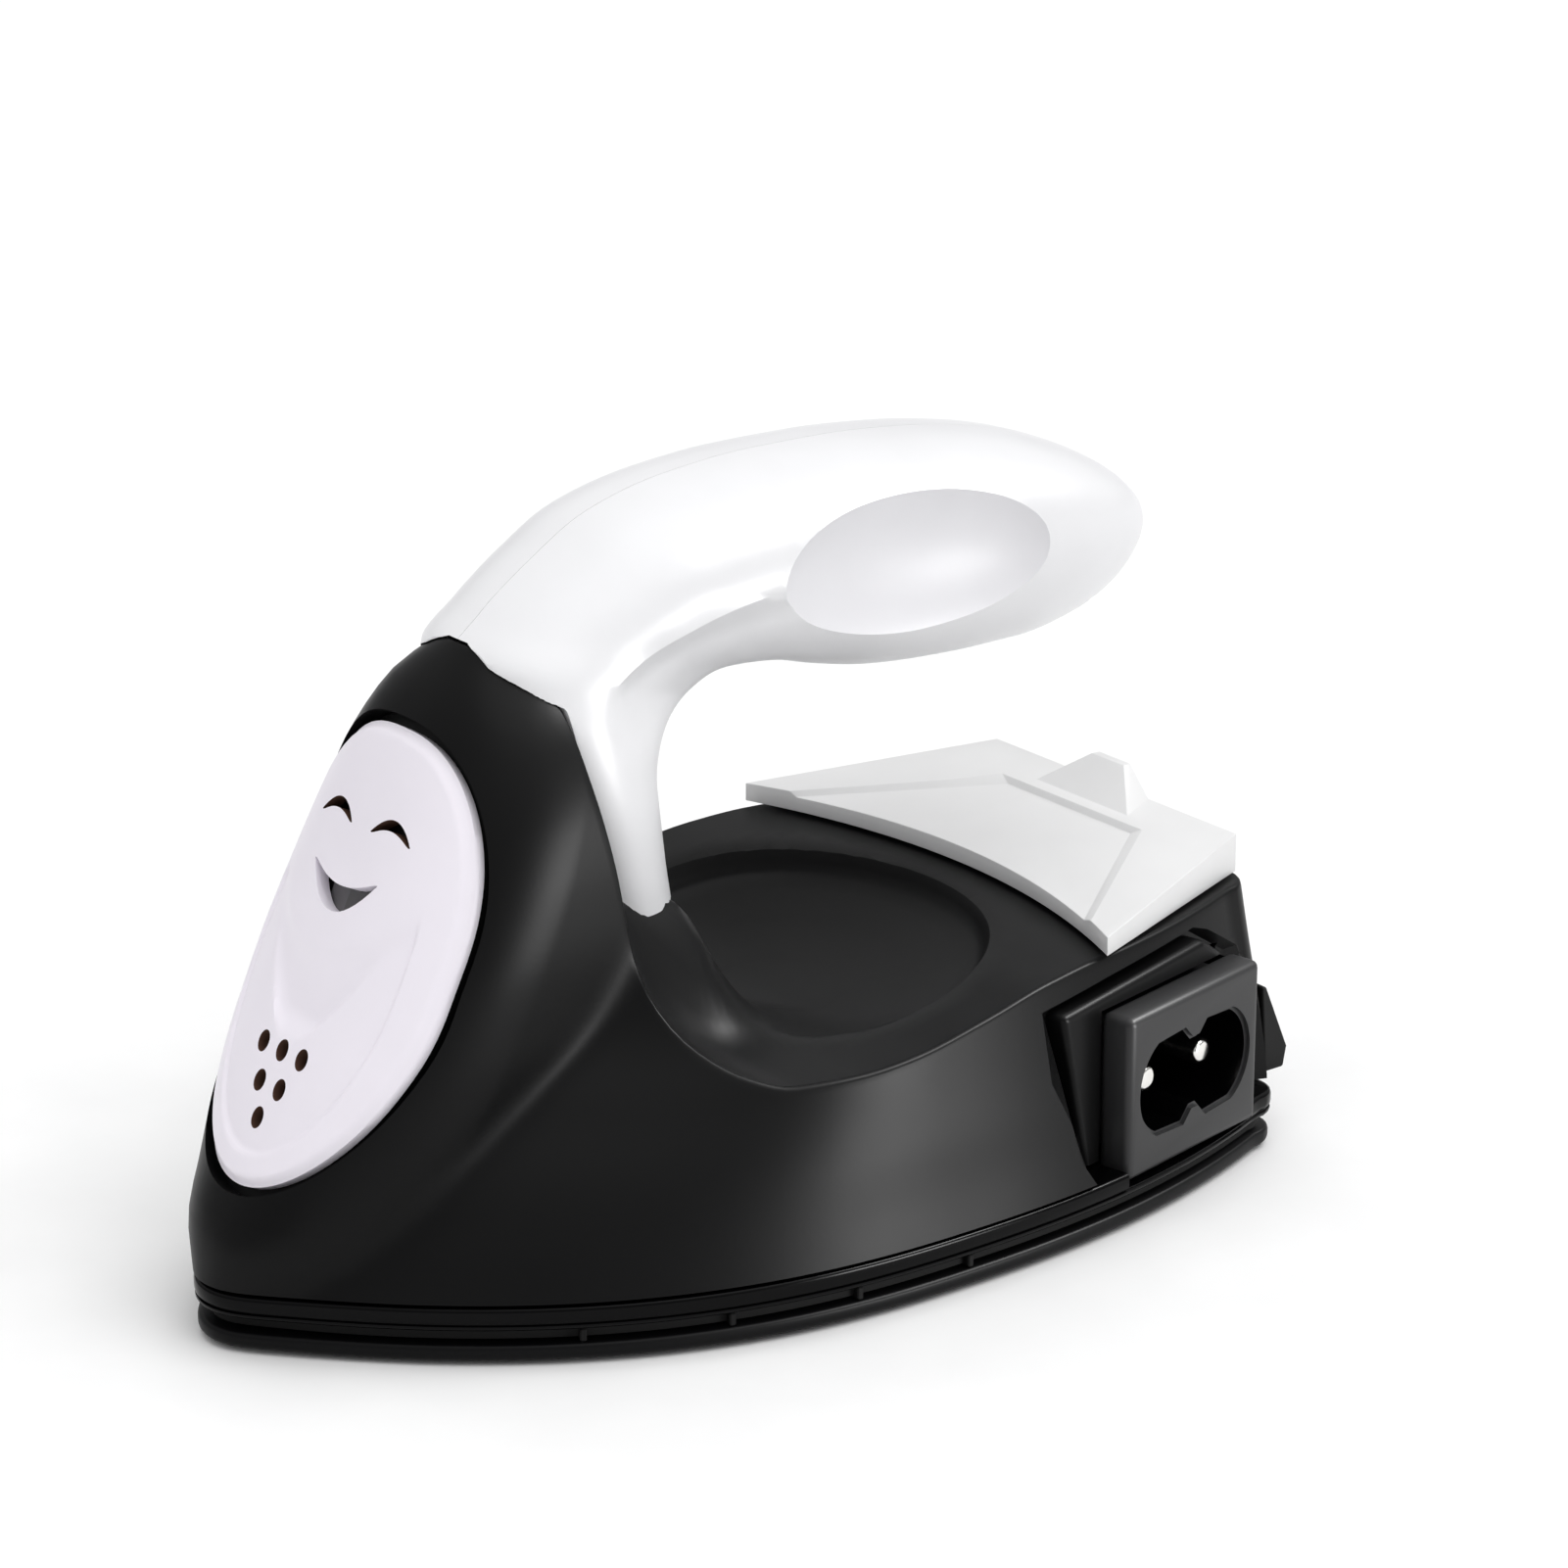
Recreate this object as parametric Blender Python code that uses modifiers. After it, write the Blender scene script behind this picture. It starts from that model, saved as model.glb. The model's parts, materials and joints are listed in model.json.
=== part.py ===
"""A small craft iron: soleplate, housing, front panel, handle, heel rest, mains inlet and the works inside.

The nose points to -Y, the inlet is on the +X side, and the sole lies on Z = 0.
"""

import math

import bmesh
import bpy
import numpy as np
from mathutils import Matrix, Vector

# Driving dimensions, in millimetres. Distances along the iron count back from the tip of the sole.
MM = 0.001
SOLE_LENGTH = 104.0
FOOT_REACH = 3.0
NOSE_Y = -(SOLE_LENGTH + FOOT_REACH) / 2
WIDEST = 60.0
SEAM = 5.5
WALL = 1.8
GAP = 0.3
CORNER = 3.0
LEAST_HALF_WIDTH = 2.0

SOLE_TOP = 1.6
GASKET = (1.9, 2.6)
SKIRT = (2.9, 5.2)
SKIRT_WIDTH = 7.0
HEEL_BASE = 24.7

# Height: front edge, prow half width, prow depth, prow roundness, body front edge, body half width.
HULL = (
    (5.5, 0.0, 6.0, 7.0, 2.0, 0.0, 32.2),
    (9.0, 0.5, 9.5, 10.0, 2.1, 3.0, 31.2),
    (14.0, 3.0, 12.6, 13.0, 2.4, 9.0, 30.0),
    (20.0, 5.9, 14.2, 13.5, 2.8, 18.0, 28.3),
    (26.0, 8.9, 15.0, 13.5, 3.0, 27.0, 26.6),
    (32.0, 11.8, 15.2, 13.5, 3.0, 32.0, 24.0),
    (38.0, 14.8, 14.8, 13.5, 3.0, 36.0, 20.0),
    (44.0, 17.8, 13.9, 13.0, 3.0, 40.0, 16.0),
    (50.0, 20.8, 12.0, 12.0, 2.8, 44.0, 12.0),
    (54.0, 23.4, 9.8, 10.0, 2.5, 48.0, 8.0),
    (57.0, 26.4, 6.5, 8.0, 2.2, 50.0, 6.0),
    (60.0, 30.5, 3.0, 6.0, 2.0, 52.0, 4.0),
)
# Side view of the rim, and of the ridge on the centre line behind the prow: distance, height.
RIM = (
    (26.0, 58.7), (28.1, 58.1), (30.8, 57.2), (31.8, 54.5), (32.9, 47.3), (34.5, 38.5), (35.6, 31.5),
    (36.4, 27.0), (38.2, 23.9), (41.0, 21.9), (44.8, 20.8), (50.8, 20.9), (57.0, 21.4), (65.0, 22.7),
    (73.0, 24.0), (80.0, 24.4), (108.0, 24.4),
)
RIDGE = (
    (26.0, 58.7), (28.1, 58.1), (30.8, 57.2), (31.8, 54.5), (32.9, 48.3), (34.5, 43.0), (35.6, 39.6),
    (37.5, 37.2), (40.5, 35.8), (44.0, 34.0), (46.2, 32.2), (48.6, 28.2), (51.5, 24.6), (56.0, 22.6),
    (60.0, 22.2), (65.0, 22.7), (73.0, 24.0), (80.0, 24.4), (108.0, 24.4),
)
RIDGE_HALF_WIDTH = 12.5

DISH_CENTRE = 63.0
DISH_RADII = (21.8, 19.4)
DISH_LIP = 1.2
DISH_DEPTH = 3.8

PANEL_TILT = math.radians(25.9)
PANEL_CENTRE = (12.4, 33.1)
PANEL_RADII = (13.2, 21.3)

# Handle ribs from the foot of the leg to the tail: outer point, inner point (distance, height), half width.
HANDLE = (
    ((36.4, 33.0), (46.4, 33.0), 9.6),
    ((34.5, 37.5), (46.0, 37.0), 10.6),
    ((30.5, 45.0), (45.8, 43.5), 11.8),
    ((27.8, 52.0), (47.6, 47.3), 11.6),
    ((27.2, 56.8), (51.0, 50.0), 10.8),
    ((30.4, 60.2), (55.0, 51.2), 10.6),
    ((35.8, 64.0), (60.0, 50.6), 11.3),
    ((42.0, 67.3), (65.0, 49.1), 11.9),
    ((50.0, 69.1), (71.0, 47.7), 12.0),
    ((59.0, 69.7), (77.0, 47.0), 12.0),
    ((68.0, 69.5), (83.0, 46.7), 12.0),
    ((77.0, 68.7), (88.5, 46.7), 11.9),
    ((86.0, 67.1), (94.0, 47.6), 11.4),
    ((93.5, 64.7), (98.5, 49.6), 10.0),
    ((99.2, 61.6), (101.3, 52.4), 7.4),
    ((102.6, 58.0), (102.8, 55.2), 3.6),
)
HANDLE_FRONT = 28.4
HANDLE_GAP = 0.4
CREASE = 0.4
DIMPLE_CENTRE = (70.0, 59.3)
DIMPLE_RADII = (14.0, 7.8)
DIMPLE_TILT = math.radians(-3.5)

INLET_CENTRE = (28.35, 89.3, 11.9)
INLET_TURN = math.radians(12.4)
INLET_FACE = (20.0, 15.8)
INLET_REACH = 3.7
PIN_SPACING = 8.6
PIN_RADIUS = 1.18
SOCKET = (15.6, 8.6)
SOCKET_DEPTH = 12.0

CLAMP_SCREWS = (30.0, 86.0)
SKIRT_SCREWS = ((1, 45.0), (-1, 45.0), (1, 74.0), (-1, 90.0))
HEEL_SCREWS = (10.0, 93.0)
HANDLE_SCREWS = (5.0, 44.0)
FOOT_X = 20.2


def along(distance):
    """World Y, in millimetres, of a distance back from the tip of the sole."""
    return NOSE_Y + distance


def pchip(table, value):
    """Reads a smooth curve through the table's rows, at one value of the first column."""
    rows = np.array(table, float)
    x, y = rows[:, 0], rows[:, 1:]
    step = np.diff(x)[:, None]
    slope = np.diff(y, axis=0) / step
    product, total = slope[1:] * slope[:-1], slope[1:] + slope[:-1] + 1e-12
    inner = np.where(product > 0, 2 * product / total, 0.0)
    tangent = np.vstack([slope[:1], inner, slope[-1:]])
    value = min(max(value, x[0]), x[-1])
    i = min(int(np.searchsorted(x, value, side="right")) - 1, len(x) - 2)
    h = x[i + 1] - x[i]
    t = (value - x[i]) / h
    return (
        (2 * t**3 - 3 * t**2 + 1) * y[i] + (t**3 - 2 * t**2 + t) * h * tangent[i]
        + (3 * t**2 - 2 * t**3) * y[i + 1] + (t**3 - t**2) * h * tangent[i + 1]
    )


# --- the outer shape of the housing ---


def half_width(distance, height, inset=0.0):
    """Half width of the outer wall: a rounded prow blended into a boat-shaped body."""
    front, prow_width, prow_depth, prow_round, body_front, body_width = pchip(HULL, height)
    front, body_front = front + 1.15 * inset, body_front + 1.15 * inset
    prow_width, body_width = max(prow_width - inset, 0.5), max(body_width - inset, 0.5)
    prow = body = 0.0
    if distance > front:
        t = min((distance - front) / prow_depth, 1.0)
        prow = prow_width * (1 - (1 - t) ** 2.2) ** (1 / prow_round)
        prow = max(prow - 0.08 * max(distance - front - prow_depth, 0.0), LEAST_HALF_WIDTH)
    if distance >= WIDEST:
        narrowing = 0.275 + 0.055 * min(max((height - SEAM) / 20, 0.0), 1.0)
        body = body_width * (1 - narrowing * ((distance - WIDEST) / (SOLE_LENGTH - WIDEST)) ** 2.3)
    elif distance > body_front:
        u = (WIDEST - distance) / (WIDEST - body_front)
        body = body_width * (1 - u**2.4) ** 0.86
    return max((prow**5 + body**5) ** 0.2, min(distance - front, LEAST_HALF_WIDTH))


def hull_ring(height, inset=0.0, steps=15):
    """One closed level line of the outer wall, as (x, distance) pairs from the nose round the +X side."""
    front = pchip(HULL, height)[0] + 1.15 * inset
    rear = SOLE_LENGTH - inset
    half = []
    for i in range(steps):
        distance = front + (rear - CORNER - front) * (i / (steps - 1)) ** 1.7
        half.append((half_width(distance, height, inset) if i else 0.0, distance))
    corner_x = half_width(rear - CORNER, height, inset)
    for angle in (30, 60, 90):
        turn = math.radians(angle)
        half.append((corner_x - CORNER * (1 - math.cos(turn)), rear - CORNER * (1 - math.sin(turn))))
    return half + [(-x, distance) for x, distance in reversed(half[1:])]


def rim_height(x, distance):
    """Height of the housing's top: the rim, with a ridge on the centre line behind the prow."""
    rim = pchip(RIM, distance)[0]
    ridge = pchip(RIDGE, distance)[0]
    return rim + (ridge - rim) / (1 + (x / RIDGE_HALF_WIDTH) ** 8)


def under_rim(x, distance):
    """Height of the hollow inside, below the rim and the dish."""
    reach = (x / DISH_RADII[0]) ** 2 + ((distance - DISH_CENTRE) / DISH_RADII[1]) ** 2
    dish = (DISH_LIP + DISH_DEPTH + 0.4) * math.sqrt(max(1 - reach / 1.25, 0.0))
    return rim_height(x, distance + WALL) - 2.0 - dish


# --- Blender helpers ---


def clear_scene():
    for obj in list(bpy.data.objects):
        bpy.data.objects.remove(obj, do_unlink=True)


def make_collection(name):
    collection = bpy.data.collections.new(name)
    bpy.context.scene.collection.children.link(collection)
    return collection


def make_material(name, colour, roughness, metallic=0.0):
    material = bpy.data.materials.new(name)
    material.use_nodes = True
    shader = material.node_tree.nodes["Principled BSDF"]
    shader.inputs["Base Color"].default_value = (*colour, 1.0)
    shader.inputs["Roughness"].default_value = roughness
    shader.inputs["Metallic"].default_value = metallic
    material.diffuse_color = (*colour, 1.0)
    return material


def add_mesh(name, bm, collection, material=None):
    """Turns a bmesh in millimetres into an object, with its origin in the middle of its box."""
    bmesh.ops.recalc_face_normals(bm, faces=bm.faces)
    if bm.calc_volume(signed=True) < 0:
        bmesh.ops.reverse_faces(bm, faces=bm.faces)
    points = [v.co for v in bm.verts]
    low = Vector([min(p[i] for p in points) for i in range(3)])
    high = Vector([max(p[i] for p in points) for i in range(3)])
    centre = (low + high) / 2
    bmesh.ops.translate(bm, verts=bm.verts, vec=-centre)
    bmesh.ops.scale(bm, verts=bm.verts, vec=(MM, MM, MM))
    mesh = bpy.data.meshes.new(name)
    bm.to_mesh(mesh)
    bm.free()
    obj = bpy.data.objects.new(name, mesh)
    obj.location = centre * MM
    collection.objects.link(obj)
    if material:
        mesh.materials.append(material)
    return obj


def add_cutter(name, bm):
    obj = add_mesh(name, bm, CUTTERS)
    obj.display_type = "WIRE"
    obj.hide_render = True
    return obj


def boolean(obj, cutter, operation="DIFFERENCE"):
    modifier = obj.modifiers.new(cutter.name, "BOOLEAN")
    modifier.operation = operation
    modifier.solver = "EXACT"
    modifier.object = cutter


def bevel(obj, width, segments=1, angle=40.0):
    modifier = obj.modifiers.new("edges", "BEVEL")
    modifier.width = width * MM
    modifier.segments = segments
    modifier.limit_method = "ANGLE"
    modifier.angle_limit = math.radians(angle)


def loft(rings):
    """Closed solid through rings of equal length, each a list of points in millimetres."""
    bm = bmesh.new()
    rows = [[bm.verts.new(point) for point in ring] for ring in rings]
    for low, high in zip(rows, rows[1:]):
        for i in range(len(low)):
            j = (i + 1) % len(low)
            bm.faces.new((low[i], low[j], high[j], high[i]))
    bm.faces.new(rows[0])
    bm.faces.new(rows[-1])
    return bm


def prism(points, bottom, top):
    return loft([[(x, y, z) for x, y in points] for z in (bottom, top)])


def box(x, y, z):
    """Box from its limits along X, Y and Z."""
    bm = bmesh.new()
    size = [high - low for low, high in (x, y, z)]
    middle = [(high + low) / 2 for low, high in (x, y, z)]
    bmesh.ops.create_cube(bm, size=1.0, matrix=Matrix.Translation(middle) @ Matrix.Diagonal((*size, 1.0)))
    return bm


def cylinder(radius, start, end, sides=16):
    """Round bar between two points."""
    start, end = Vector(start), Vector(end)
    turn = (end - start).to_track_quat("Z", "Y").to_matrix().to_4x4()
    bm = bmesh.new()
    bmesh.ops.create_cone(
        bm, cap_ends=True, segments=sides, radius1=radius, radius2=radius, depth=(end - start).length,
        matrix=Matrix.Translation((start + end) / 2) @ turn,
    )
    return bm


def turned(name, profile, place, axis, material, steps=14):
    """Turned part: (radius, height) pairs from top to bottom, spun about an axis that starts at a place."""
    bm = bmesh.new()
    points = [bm.verts.new((radius * MM, 0.0, height * MM)) for radius, height in profile]
    for low, high in zip(points, points[1:]):
        bm.edges.new((low, high))
    mesh = bpy.data.meshes.new(name)
    bm.to_mesh(mesh)
    bm.free()
    mesh.materials.append(material)
    obj = bpy.data.objects.new(name, mesh)
    obj.location = Vector(place) * MM
    obj.rotation_euler = Vector(axis).to_track_quat("Z", "Y").to_euler()
    PARTS.objects.link(obj)
    spin = obj.modifiers.new("spin", "SCREW")
    spin.steps = spin.render_steps = steps
    spin.use_merge_vertices = True
    spin.merge_threshold = 1e-6
    return obj


def plate(name, outline, bottom, top, material, holes=()):
    """Flat plate from a 2D curve, with round or shaped holes as further splines."""
    curve = bpy.data.curves.new(name, "CURVE")
    curve.dimensions = "2D"
    curve.fill_mode = "BOTH"
    curve.extrude = (top - bottom) / 2 * MM
    for points in (outline, *holes):
        spline = curve.splines.new("POLY")
        spline.points.add(len(points) - 1)
        for point, (x, y) in zip(spline.points, points):
            point.co = (x * MM, y * MM, 0.0, 1.0)
        spline.use_cyclic_u = True
    curve.materials.append(material)
    obj = bpy.data.objects.new(name, curve)
    obj.location = (0.0, 0.0, (top + bottom) / 2 * MM)
    PARTS.objects.link(obj)
    return obj


def wire(name, points, radius, material):
    """Insulated lead along a smooth route."""
    route = [np.array(p, float) for p in points]
    ends = [2 * route[0] - route[1], *route, 2 * route[-1] - route[-2]]
    smooth = []
    for a, b, c, d in zip(ends, ends[1:], ends[2:], ends[3:]):
        for t in np.linspace(0, 1, 5)[:-1]:
            bend, twist = 2 * a - 5 * b + 4 * c - d, 3 * b - a - 3 * c + d
            smooth.append(0.5 * (2 * b + (c - a) * t + bend * t**2 + twist * t**3))
    smooth.append(route[-1])
    curve = bpy.data.curves.new(name, "CURVE")
    curve.dimensions = "3D"
    curve.bevel_depth = radius * MM
    curve.bevel_resolution = 2
    curve.use_fill_caps = True
    spline = curve.splines.new("POLY")
    spline.points.add(len(smooth) - 1)
    for point, place in zip(spline.points, smooth):
        point.co = (*(place * MM), 1.0)
    curve.materials.append(material)
    obj = bpy.data.objects.new(name, curve)
    PARTS.objects.link(obj)
    return obj


def circle(x, y, radius, sides=14):
    turns = [2 * math.pi * i / sides for i in range(sides)]
    return [(x + radius * math.cos(turn), y + radius * math.sin(turn)) for turn in turns]


def world_ring(pairs, height):
    return [(x, along(distance), height) for x, distance in pairs]


def footprint(inset):
    return [(x, along(distance)) for x, distance in hull_ring(SEAM, inset)]


# --- cutting tools ---


def hull_solid(inset, levels):
    return loft([world_ring(hull_ring(height, inset), height) for height in levels])


def above(surface, steps_x, steps_y):
    """Everything above a height surface, up to well over the prow."""
    bm = bmesh.new()
    grid = [[bm.verts.new((x, along(d), surface(x, d))) for x in steps_x] for d in steps_y]
    lid = [[bm.verts.new((x, along(d), 75.0)) for x in steps_x] for d in steps_y]
    rows, columns = len(steps_y), len(steps_x)
    for sheet in (grid, lid):
        for i in range(rows - 1):
            for j in range(columns - 1):
                bm.faces.new((sheet[i][j], sheet[i][j + 1], sheet[i + 1][j + 1], sheet[i + 1][j]))
    edge = [(0, j) for j in range(columns)] + [(i, columns - 1) for i in range(1, rows)]
    edge += [(rows - 1, j) for j in range(columns - 2, -1, -1)] + [(i, 0) for i in range(rows - 2, 0, -1)]
    for (a, b), (c, d) in zip(edge, edge[1:] + edge[:1]):
        bm.faces.new((grid[a][b], grid[c][d], lid[c][d], lid[a][b]))
    return bm


RIM_X = (-36, -26, -21, -17, -14, -11, -6, 0, 6, 11, 14, 17, 21, 26, 36)
RIM_Y = (26, 28.1, 30.8, 31.8, 32.9, 34.5, 35.6, 36.4, 38.2, 41, 44.5, 47, 50, 54, 60, 66, 73, 80, 108)
HOLLOW_Y = (26, 28.1, 30.8, 31.8, 32.9, 34.5, 36, 38.2, 42, 46, 50, 56, 64, 73, 80, 85, 90, 108)


def dish_solid():
    """The finger dish: an oval bowl that follows the rim, with a short upright lip."""
    rings = []
    for reach in (0.25, 0.5, 0.75, 0.9, 1.0):
        ring = []
        for i in range(28):
            turn = 2 * math.pi * i / 28
            x = DISH_RADII[0] * reach * math.cos(turn)
            distance = DISH_CENTRE + DISH_RADII[1] * reach * math.sin(turn)
            drop = DISH_LIP + DISH_DEPTH * (1 - reach**2)
            ring.append((x, along(distance), rim_height(x, distance) - drop))
        rings.append(ring)
    rings.append([(x, y, 75.0) for x, y, _ in rings[-1]])
    return loft(rings)


def egg(grow, low, high):
    """Prism of the front panel's egg-shaped outline, square to the panel."""
    points = []
    for i in range(36):
        turn = 2 * math.pi * i / 36
        power = 2 / 2.6 if math.sin(turn) > 0 else 1.0
        x = (PANEL_RADII[0] + grow) * math.copysign(abs(math.cos(turn)) ** power, math.cos(turn))
        up = (PANEL_RADII[1] + grow) * math.copysign(abs(math.sin(turn)) ** power, math.sin(turn))
        points.append((x, up))
    return on_panel(points, low, high)


def on_panel(points, low, high):
    """Prism square to the panel, from points (x, up the slope) measured from the panel's centre."""
    slope = Vector((0.0, math.sin(PANEL_TILT), math.cos(PANEL_TILT)))
    out = Vector((0.0, -math.cos(PANEL_TILT), math.sin(PANEL_TILT)))
    centre = Vector((0.0, along(PANEL_CENTRE[0]), PANEL_CENTRE[1]))
    return loft([
        [centre + Vector((x, 0, 0)) + slope * up + out * depth for x, up in points] for depth in (low, high)
    ])


def inlet_frame():
    """Matrix whose X runs out of the inlet, Y back along its face and Z up."""
    turn = Matrix.Rotation(INLET_TURN, 4, "Z")
    x, distance, z = INLET_CENTRE
    return Matrix.Translation((x, along(distance), z)) @ turn


def at_inlet(bm):
    bmesh.ops.transform(bm, matrix=inlet_frame(), verts=bm.verts)
    return bm


def socket_outline(grow=0.0):
    """The figure-of-eight outline: two round ends and a small notch at the middle of each long side."""
    half_length, radius = SOCKET[0] / 2 + grow, SOCKET[1] / 2 + grow
    centre = half_length - radius
    points = []
    for side in (1, -1):
        for angle in (-62, -40, -20, 0, 20, 40, 62):
            turn = math.radians(angle)
            points.append((side * (centre + radius * math.cos(turn)), side * radius * math.sin(turn)))
        points.append((side * 1.7, side * (radius * 0.93)))
        points.append((0.0, side * (radius - 1.75)))
        points.append((-side * 1.7, side * (radius * 0.93)))
    return points


def inlet_prism(points, low, high):
    """Prism along the inlet's axis from (back, up) points."""
    return at_inlet(loft([[(depth, y, z) for y, z in points] for depth in (low, high)]))


def inlet_block(grow, low, high):
    width, height = INLET_FACE[0] / 2 + grow, INLET_FACE[1] / 2 + grow
    return at_inlet(box((low, high), (-width, width), (-height, height)))


def inlet_neck(grow, low, high):
    """The part of the inlet that passes through the housing wall."""
    return at_inlet(box((low, high), (-9.1 - grow, 9.1 + grow), (-5.2 - grow, 6.4 + grow)))


# --- base ---


def build_soleplate():
    sole = add_mesh("soleplate", prism(footprint(0.2), 0.0, SOLE_TOP), PARTS, SOLE)
    bevel(sole, 0.35)
    for i, distance in enumerate(CLAMP_SCREWS):
        boss_and_hole(sole, f"clamp_{i}", 0.0, distance)
    for i, (side, distance) in enumerate(SKIRT_SCREWS):
        boss_and_hole(sole, f"skirt_{i}", skirt_screw_x(side, distance), distance)


def boss_and_hole(sole, name, x, distance):
    """A low boss on the soleplate with a blind hole for a screw."""
    y = along(distance)
    boolean(sole, add_cutter(f"boss_{name}", cylinder(2.4, (x, y, 1.2), (x, y, 2.6), 14)), "UNION")
    boolean(sole, add_cutter(f"tapped_{name}", cylinder(1.35, (x, y, 0.6), (x, y, 3.5), 12)))


def skirt_screw_x(side, distance):
    return side * (half_width(distance, SEAM) - 5.2)


def build_gasket():
    holes = [footprint(2.2)]
    plate("sole_gasket", footprint(1.2), *GASKET, RUBBER, holes)


def build_skirt():
    inner = footprint(SKIRT_WIDTH)
    holes = [circle(skirt_screw_x(side, d), along(d), 1.35, 12) for side, d in SKIRT_SCREWS]
    skirt = add_mesh("base_skirt", prism(footprint(0.0), *SKIRT), PARTS, GLOSS_BLACK)
    bevel(skirt, 0.3)
    boolean(skirt, add_cutter("skirt_inside", prism(inner, SKIRT[0] - 1, SKIRT[1] + 1)))
    for i, points in enumerate(holes):
        boolean(skirt, add_cutter(f"skirt_hole_{i}", prism(points, SKIRT[0] - 1, SKIRT[1] + 1)))
    boolean(skirt, add_cutter("skirt_notch", inlet_block(GAP, -INLET_REACH, 4.0)))
    for i, (side, distance) in enumerate(SKIRT_SCREWS):
        tip = (skirt_screw_x(side, distance), along(distance), 0.9)
        build_screw(f"skirt_screw_{i + 1}", tip, (0, 0, 1), 4.6)


def build_screw(name, tip, axis, length, shank=1.05, head=2.0):
    """Screw with a domed head, its tip at a point and its head along the axis."""
    profile = (
        (0.0, length + 1.3), (head * 0.6, length + 1.15), (head, length + 0.5), (head, length),
        (shank, length), (shank, 0.5), (0.0, 0.0),
    )
    return turned(name, profile, tip, axis, STEEL, 12)


# --- heater ---


def build_heater():
    middle = sum(CLAMP_SCREWS) / 2

    def sheet(name, length, width, bottom, top, material, holes=()):
        corners = [(-width, -length), (width, -length), (width, length), (-width, length)]
        outline = [(x / 2, along(middle + y / 2)) for x, y in corners]
        return plate(name, outline, bottom, top, material, holes)

    screws = [circle(0.0, along(distance), 1.35, 12) for distance in CLAMP_SCREWS]
    sheet("mica_sheet_lower", 46, 26, 1.9, 2.2, MICA)
    sheet("heater_element", 44, 24, 2.5, 3.3, MICA)
    sheet("mica_sheet_upper", 46, 26, 3.6, 3.9, MICA)
    sheet("pressure_plate", 63, 18, 4.2, 5.4, STEEL, screws)
    sheet("heat_shield", 62, 19, 8.0, 8.5, ALUMINIUM, screws)
    for name, distance in zip(("front", "rear"), CLAMP_SCREWS):
        ring = ((2.3, 7.7), (2.3, 5.7), (1.35, 5.7), (1.35, 7.7), (2.3, 7.7))
        turned(f"shield_spacer_{name}", ring, (0, along(distance), 0), (0, 0, 1), CERAMIC, 14)
        build_screw(f"clamp_screw_{name}", (0, along(distance), 0.9), (0, 0, 1), 7.9)


# --- thermostat: a stack of ceramic washers that holds two blades, and an arm that the heat moves ---

STACK = (-5.0, 20.5)
BLADE_WIDTH = 3.2
ARM_ROOT = -1.3
ARM_HEIGHT = 6.0


def build_thermostat():
    x, distance = STACK
    y = along(distance)
    hole = [circle(x, y, 1.35, 12)]
    base = [(x - 3.5, y - 4), (x + 14, y - 4), (x + 14, y + 4), (x - 3.5, y + 4)]
    plate("thermostat_base", base, 1.9, 2.7, STEEL, hole)
    for i, (bottom, top) in enumerate(((3.0, 4.2), (5.1, 7.1), (8.0, 9.2))):
        ring = ((3.0, top), (3.0, bottom), (1.35, bottom), (1.35, top), (3.0, top))
        turned(f"ceramic_washer_{i + 1}", ring, (x, y, 0), (0, 0, 1), CERAMIC, 14)

    def blade(name, reach, bottom, material):
        outline = [(x - 3.2, y - BLADE_WIDTH / 2), (x + reach, y - BLADE_WIDTH / 2)]
        outline += [(x + reach, y + BLADE_WIDTH / 2), (x - 3.2, y + BLADE_WIDTH / 2)]
        plate(name, outline, bottom, bottom + 0.3, material, hole)

    blade("bimetal_strip", 13.0, 4.5, BRASS)
    blade("fixed_contact_blade", 13.0, 7.4, BRASS)
    contact_x = x + 11.0
    fixed = cylinder(0.9, (contact_x, y, 6.75), (contact_x, y, 7.1), 12)
    add_mesh("fixed_contact", fixed, PARTS, SILVER)
    strip = box((ARM_ROOT, contact_x + 1.5), (y - 1.4, y + 1.4), (ARM_HEIGHT - 0.15, ARM_HEIGHT + 0.15))
    arm = add_mesh("moving_contact_arm", strip, PARTS, BRASS)
    button = add_cutter("contact_button", cylinder(0.9, (contact_x, y, 5.7), (contact_x, y, 6.45), 12))
    boolean(arm, button, "UNION")
    build_screw("thermostat_rivet", (x, y, 1.9), (0, 0, 1), 7.6, head=1.9)


# --- housing ---


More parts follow.
